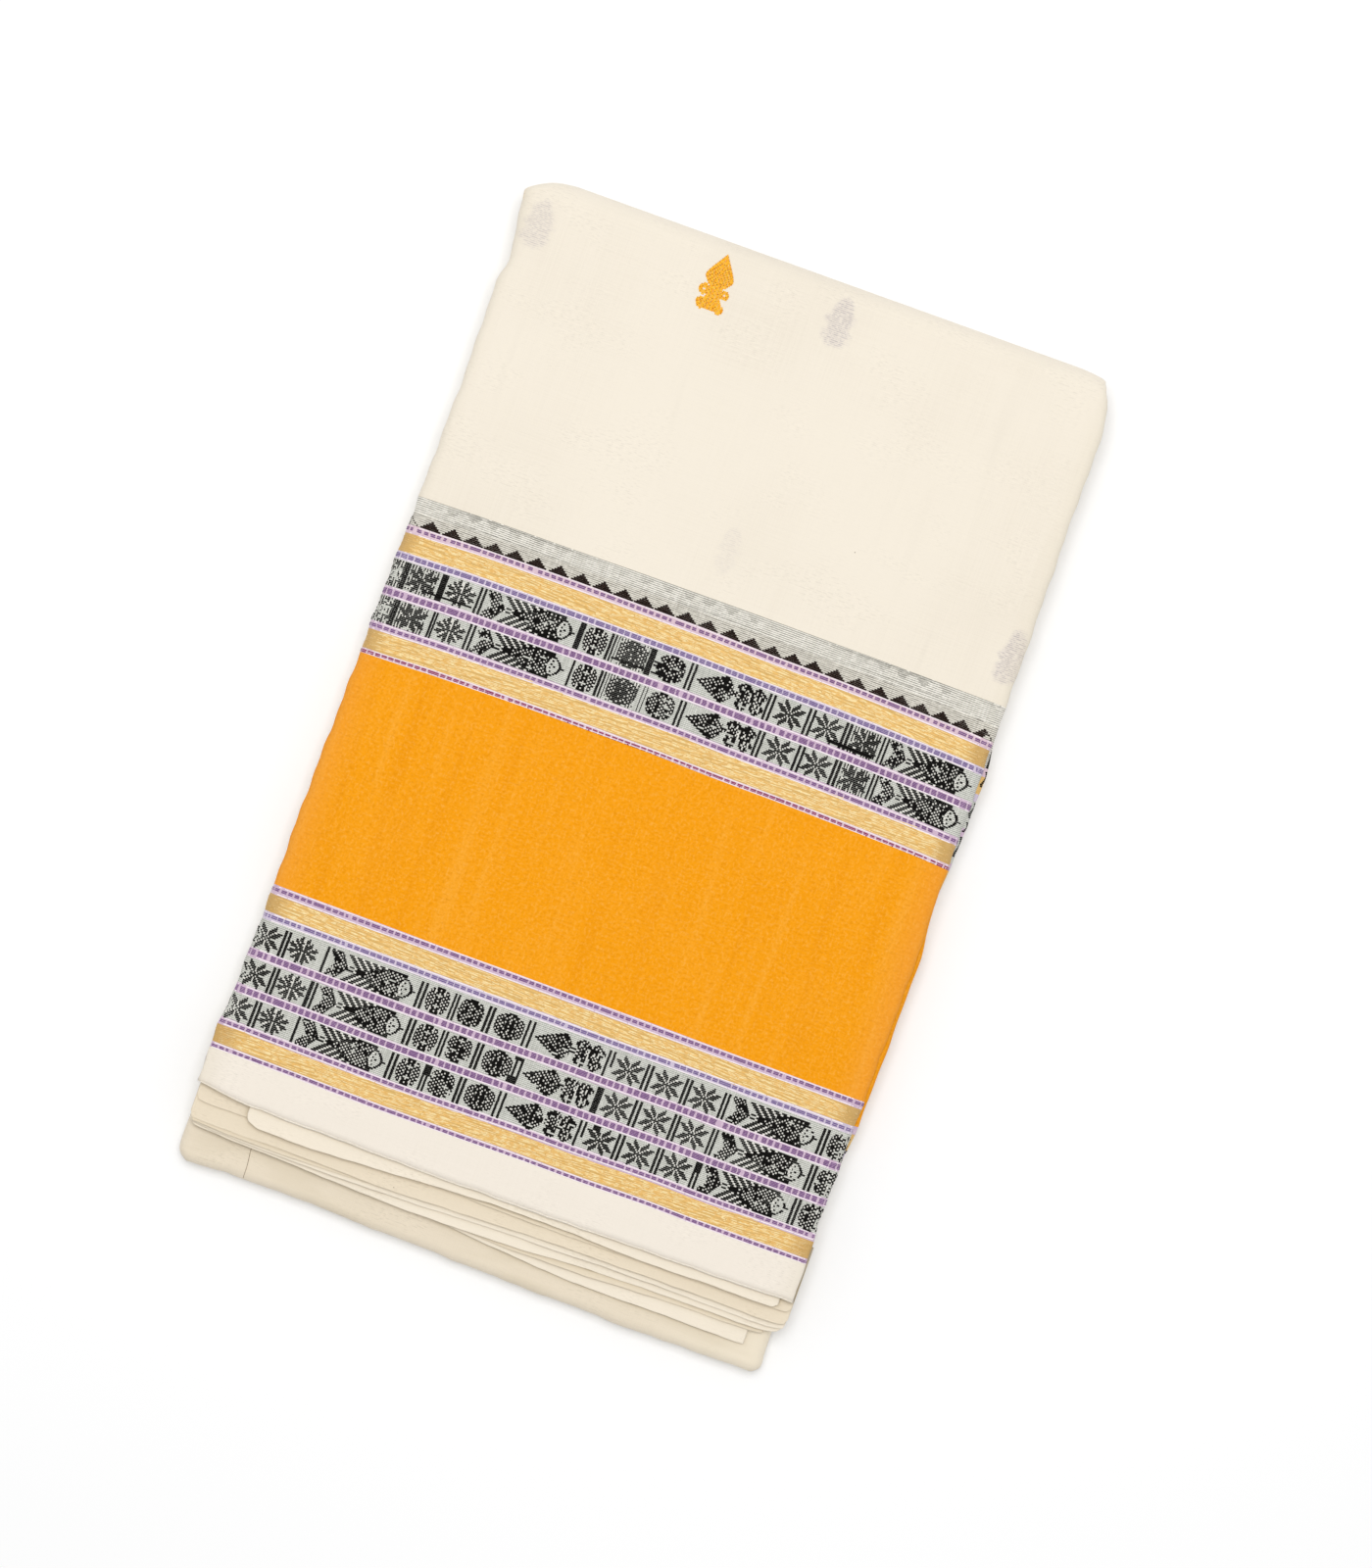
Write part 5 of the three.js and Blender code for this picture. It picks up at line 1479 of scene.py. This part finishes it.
butta = Floats(front_point)
butta_dark = Floats(front_point)
bx, by = at_u(-103.6), -(-465.6 + 1) * PX
for y, fill, dark in leaf_motif():
    for a, b in fill:
        x = a
        while x < b - 0.15:                   # each run is bound down every few threads
            e = min(x + 2.4 + RNG.uniform(-0.5, 0.7), b)
            if b - e < 0.7:
                e = b
            butta.run(bx + x, bx + e - (0.10 if e < b else 0), (lambda p, y=y: by + y + 0 * np.asarray(p)), 1.12, 0.24, soft=0.14)
            x = e
    for a, b in dark:
        butta_dark.run(bx + a, bx + b, (lambda p, y=y: by + y + 0.25 + 0 * np.asarray(p)), 0.42, 0.34, soft=0.12)
butta = butta.build("leaf_motif_threads", MAT["orange_thread"])
butta_dark = butta_dark.build("leaf_motif_vein_threads", MAT["vein_thread"])

# the front selvedge: thicker end threads
selv = Floats(front_point)
for k, (off, wide, high) in enumerate(((0.50, 0.6, 0.16),)):
    p0 = -173.0
    while p0 < 172.0:
        p1 = min(p0 + 22.0, 172.0)
        selv.run(p0, p1 + 0.3, (lambda p, off=off: selvedge_y(p) + off + 0.15 * np.sin(p / 19.0 + off)), wide, high, step=3.0, taper=0.8)
        p0 = p1
selv = selv.build("selvedge_threads", MAT["cream_thread"])

# a stray warp end on the bottom turn
yarn = Floats(rear_point)
x_y = at_u(-252.5)
q_base = UNDER_Y0 + 285.6 + 2 * TURN_ARC
yarn.run(q_base - 6.0, q_base + 16.0, (lambda s: x_y - (s - q_base) * 0.06 + 0.25 * np.sin(s / 3.1)), 0.30, 0.14, step=2.0, along="q")
yarn = yarn.build("stray_yarn", MAT["yarn"])

# ------------------------------------------------------------------ what rides, what replaces what
for ob in [front, right_fold, rear, inner, black_low, black_up, pale_net, temple, purple, violet, magenta, pale, zari, ghost, butta,
           butta_dark, selv, fold_black, yarn]:
    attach(ob, "root")
for group in ends.values():
    for ob in group:
        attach(ob, "root")
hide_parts("front_body", "front_border")
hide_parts("right_fold")
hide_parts("back_leaf", "bottom_turn")
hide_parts("hidden_layers")
for node, group in ends.items():
    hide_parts(node)

# ------------------------------------------------------------------ floor, light, camera
scene = bpy.context.scene
floor_mesh = bpy.data.meshes.new("floor")
floor_mesh.from_pydata([(-4, -4, -0.0003), (4, -4, -0.0003), (4, 4, -0.0003), (-4, 4, -0.0003)], [], [(0, 1, 2, 3)])
floor = bpy.data.objects.new("floor", floor_mesh)
scene.collection.objects.link(floor)
fm = bpy.data.materials.new("floor")
fm.use_nodes = True
fb = fm.node_tree.nodes["Principled BSDF"]
fb.inputs["Base Color"].default_value = (0.93, 0.93, 0.93, 1)
fb.inputs["Roughness"].default_value = 0.9
fb.inputs["Specular IOR Level"].default_value = 0.0
floor_mesh.materials.append(fm)

world = bpy.data.worlds.new("studio")
world.use_nodes = True
world.node_tree.nodes["Background"].inputs[0].default_value = (1.0, 1.0, 1.0, 1)
world.node_tree.nodes["Background"].inputs[1].default_value = 0.66
scene.world = world


def area_light(name, place, size, power, target=(0, 0, 0)):
    data = bpy.data.lights.new(name, "AREA")
    data.shape = "RECTANGLE"
    data.size, data.size_y = size
    data.energy = power
    ob = bpy.data.objects.new(name, data)
    scene.collection.objects.link(ob)
    from mathutils import Vector
    d = Vector(target) - Vector(place)
    ob.location = place
    ob.rotation_euler = d.to_track_quat("-Z", "Y").to_euler()
    return ob


TILT = math.radians(19.8)


def turned(x, y, z):
    """A place given as seen in the picture (right, up) in the part's frame."""
    return (x * math.cos(TILT) - y * math.sin(TILT), x * math.sin(TILT) + y * math.cos(TILT), z)


area_light("key", turned(0.10, 0.55, 2.35), (1.5, 1.5), 32.0)

cam_data = bpy.data.cameras.new("camera")
cam_data.lens = 85.0
cam_data.sensor_width = 36.0
cam = bpy.data.objects.new("camera", cam_data)
scene.collection.objects.link(cam)
height = 1600 * PX / 1000 * 85.0 / 36.0
cam.location = ((38.8 + 2) * PX / 1000 + SHIFT[0] / 1000, -(-5.2 + 1) * PX / 1000 + SHIFT[1] / 1000, height + 0.025)
cam.rotation_euler = (0.0, 0.0, TILT)
cam_data.dof.use_dof = False
scene.camera = cam
scene.view_settings.view_transform = "Standard"
scene.view_settings.look = "None"
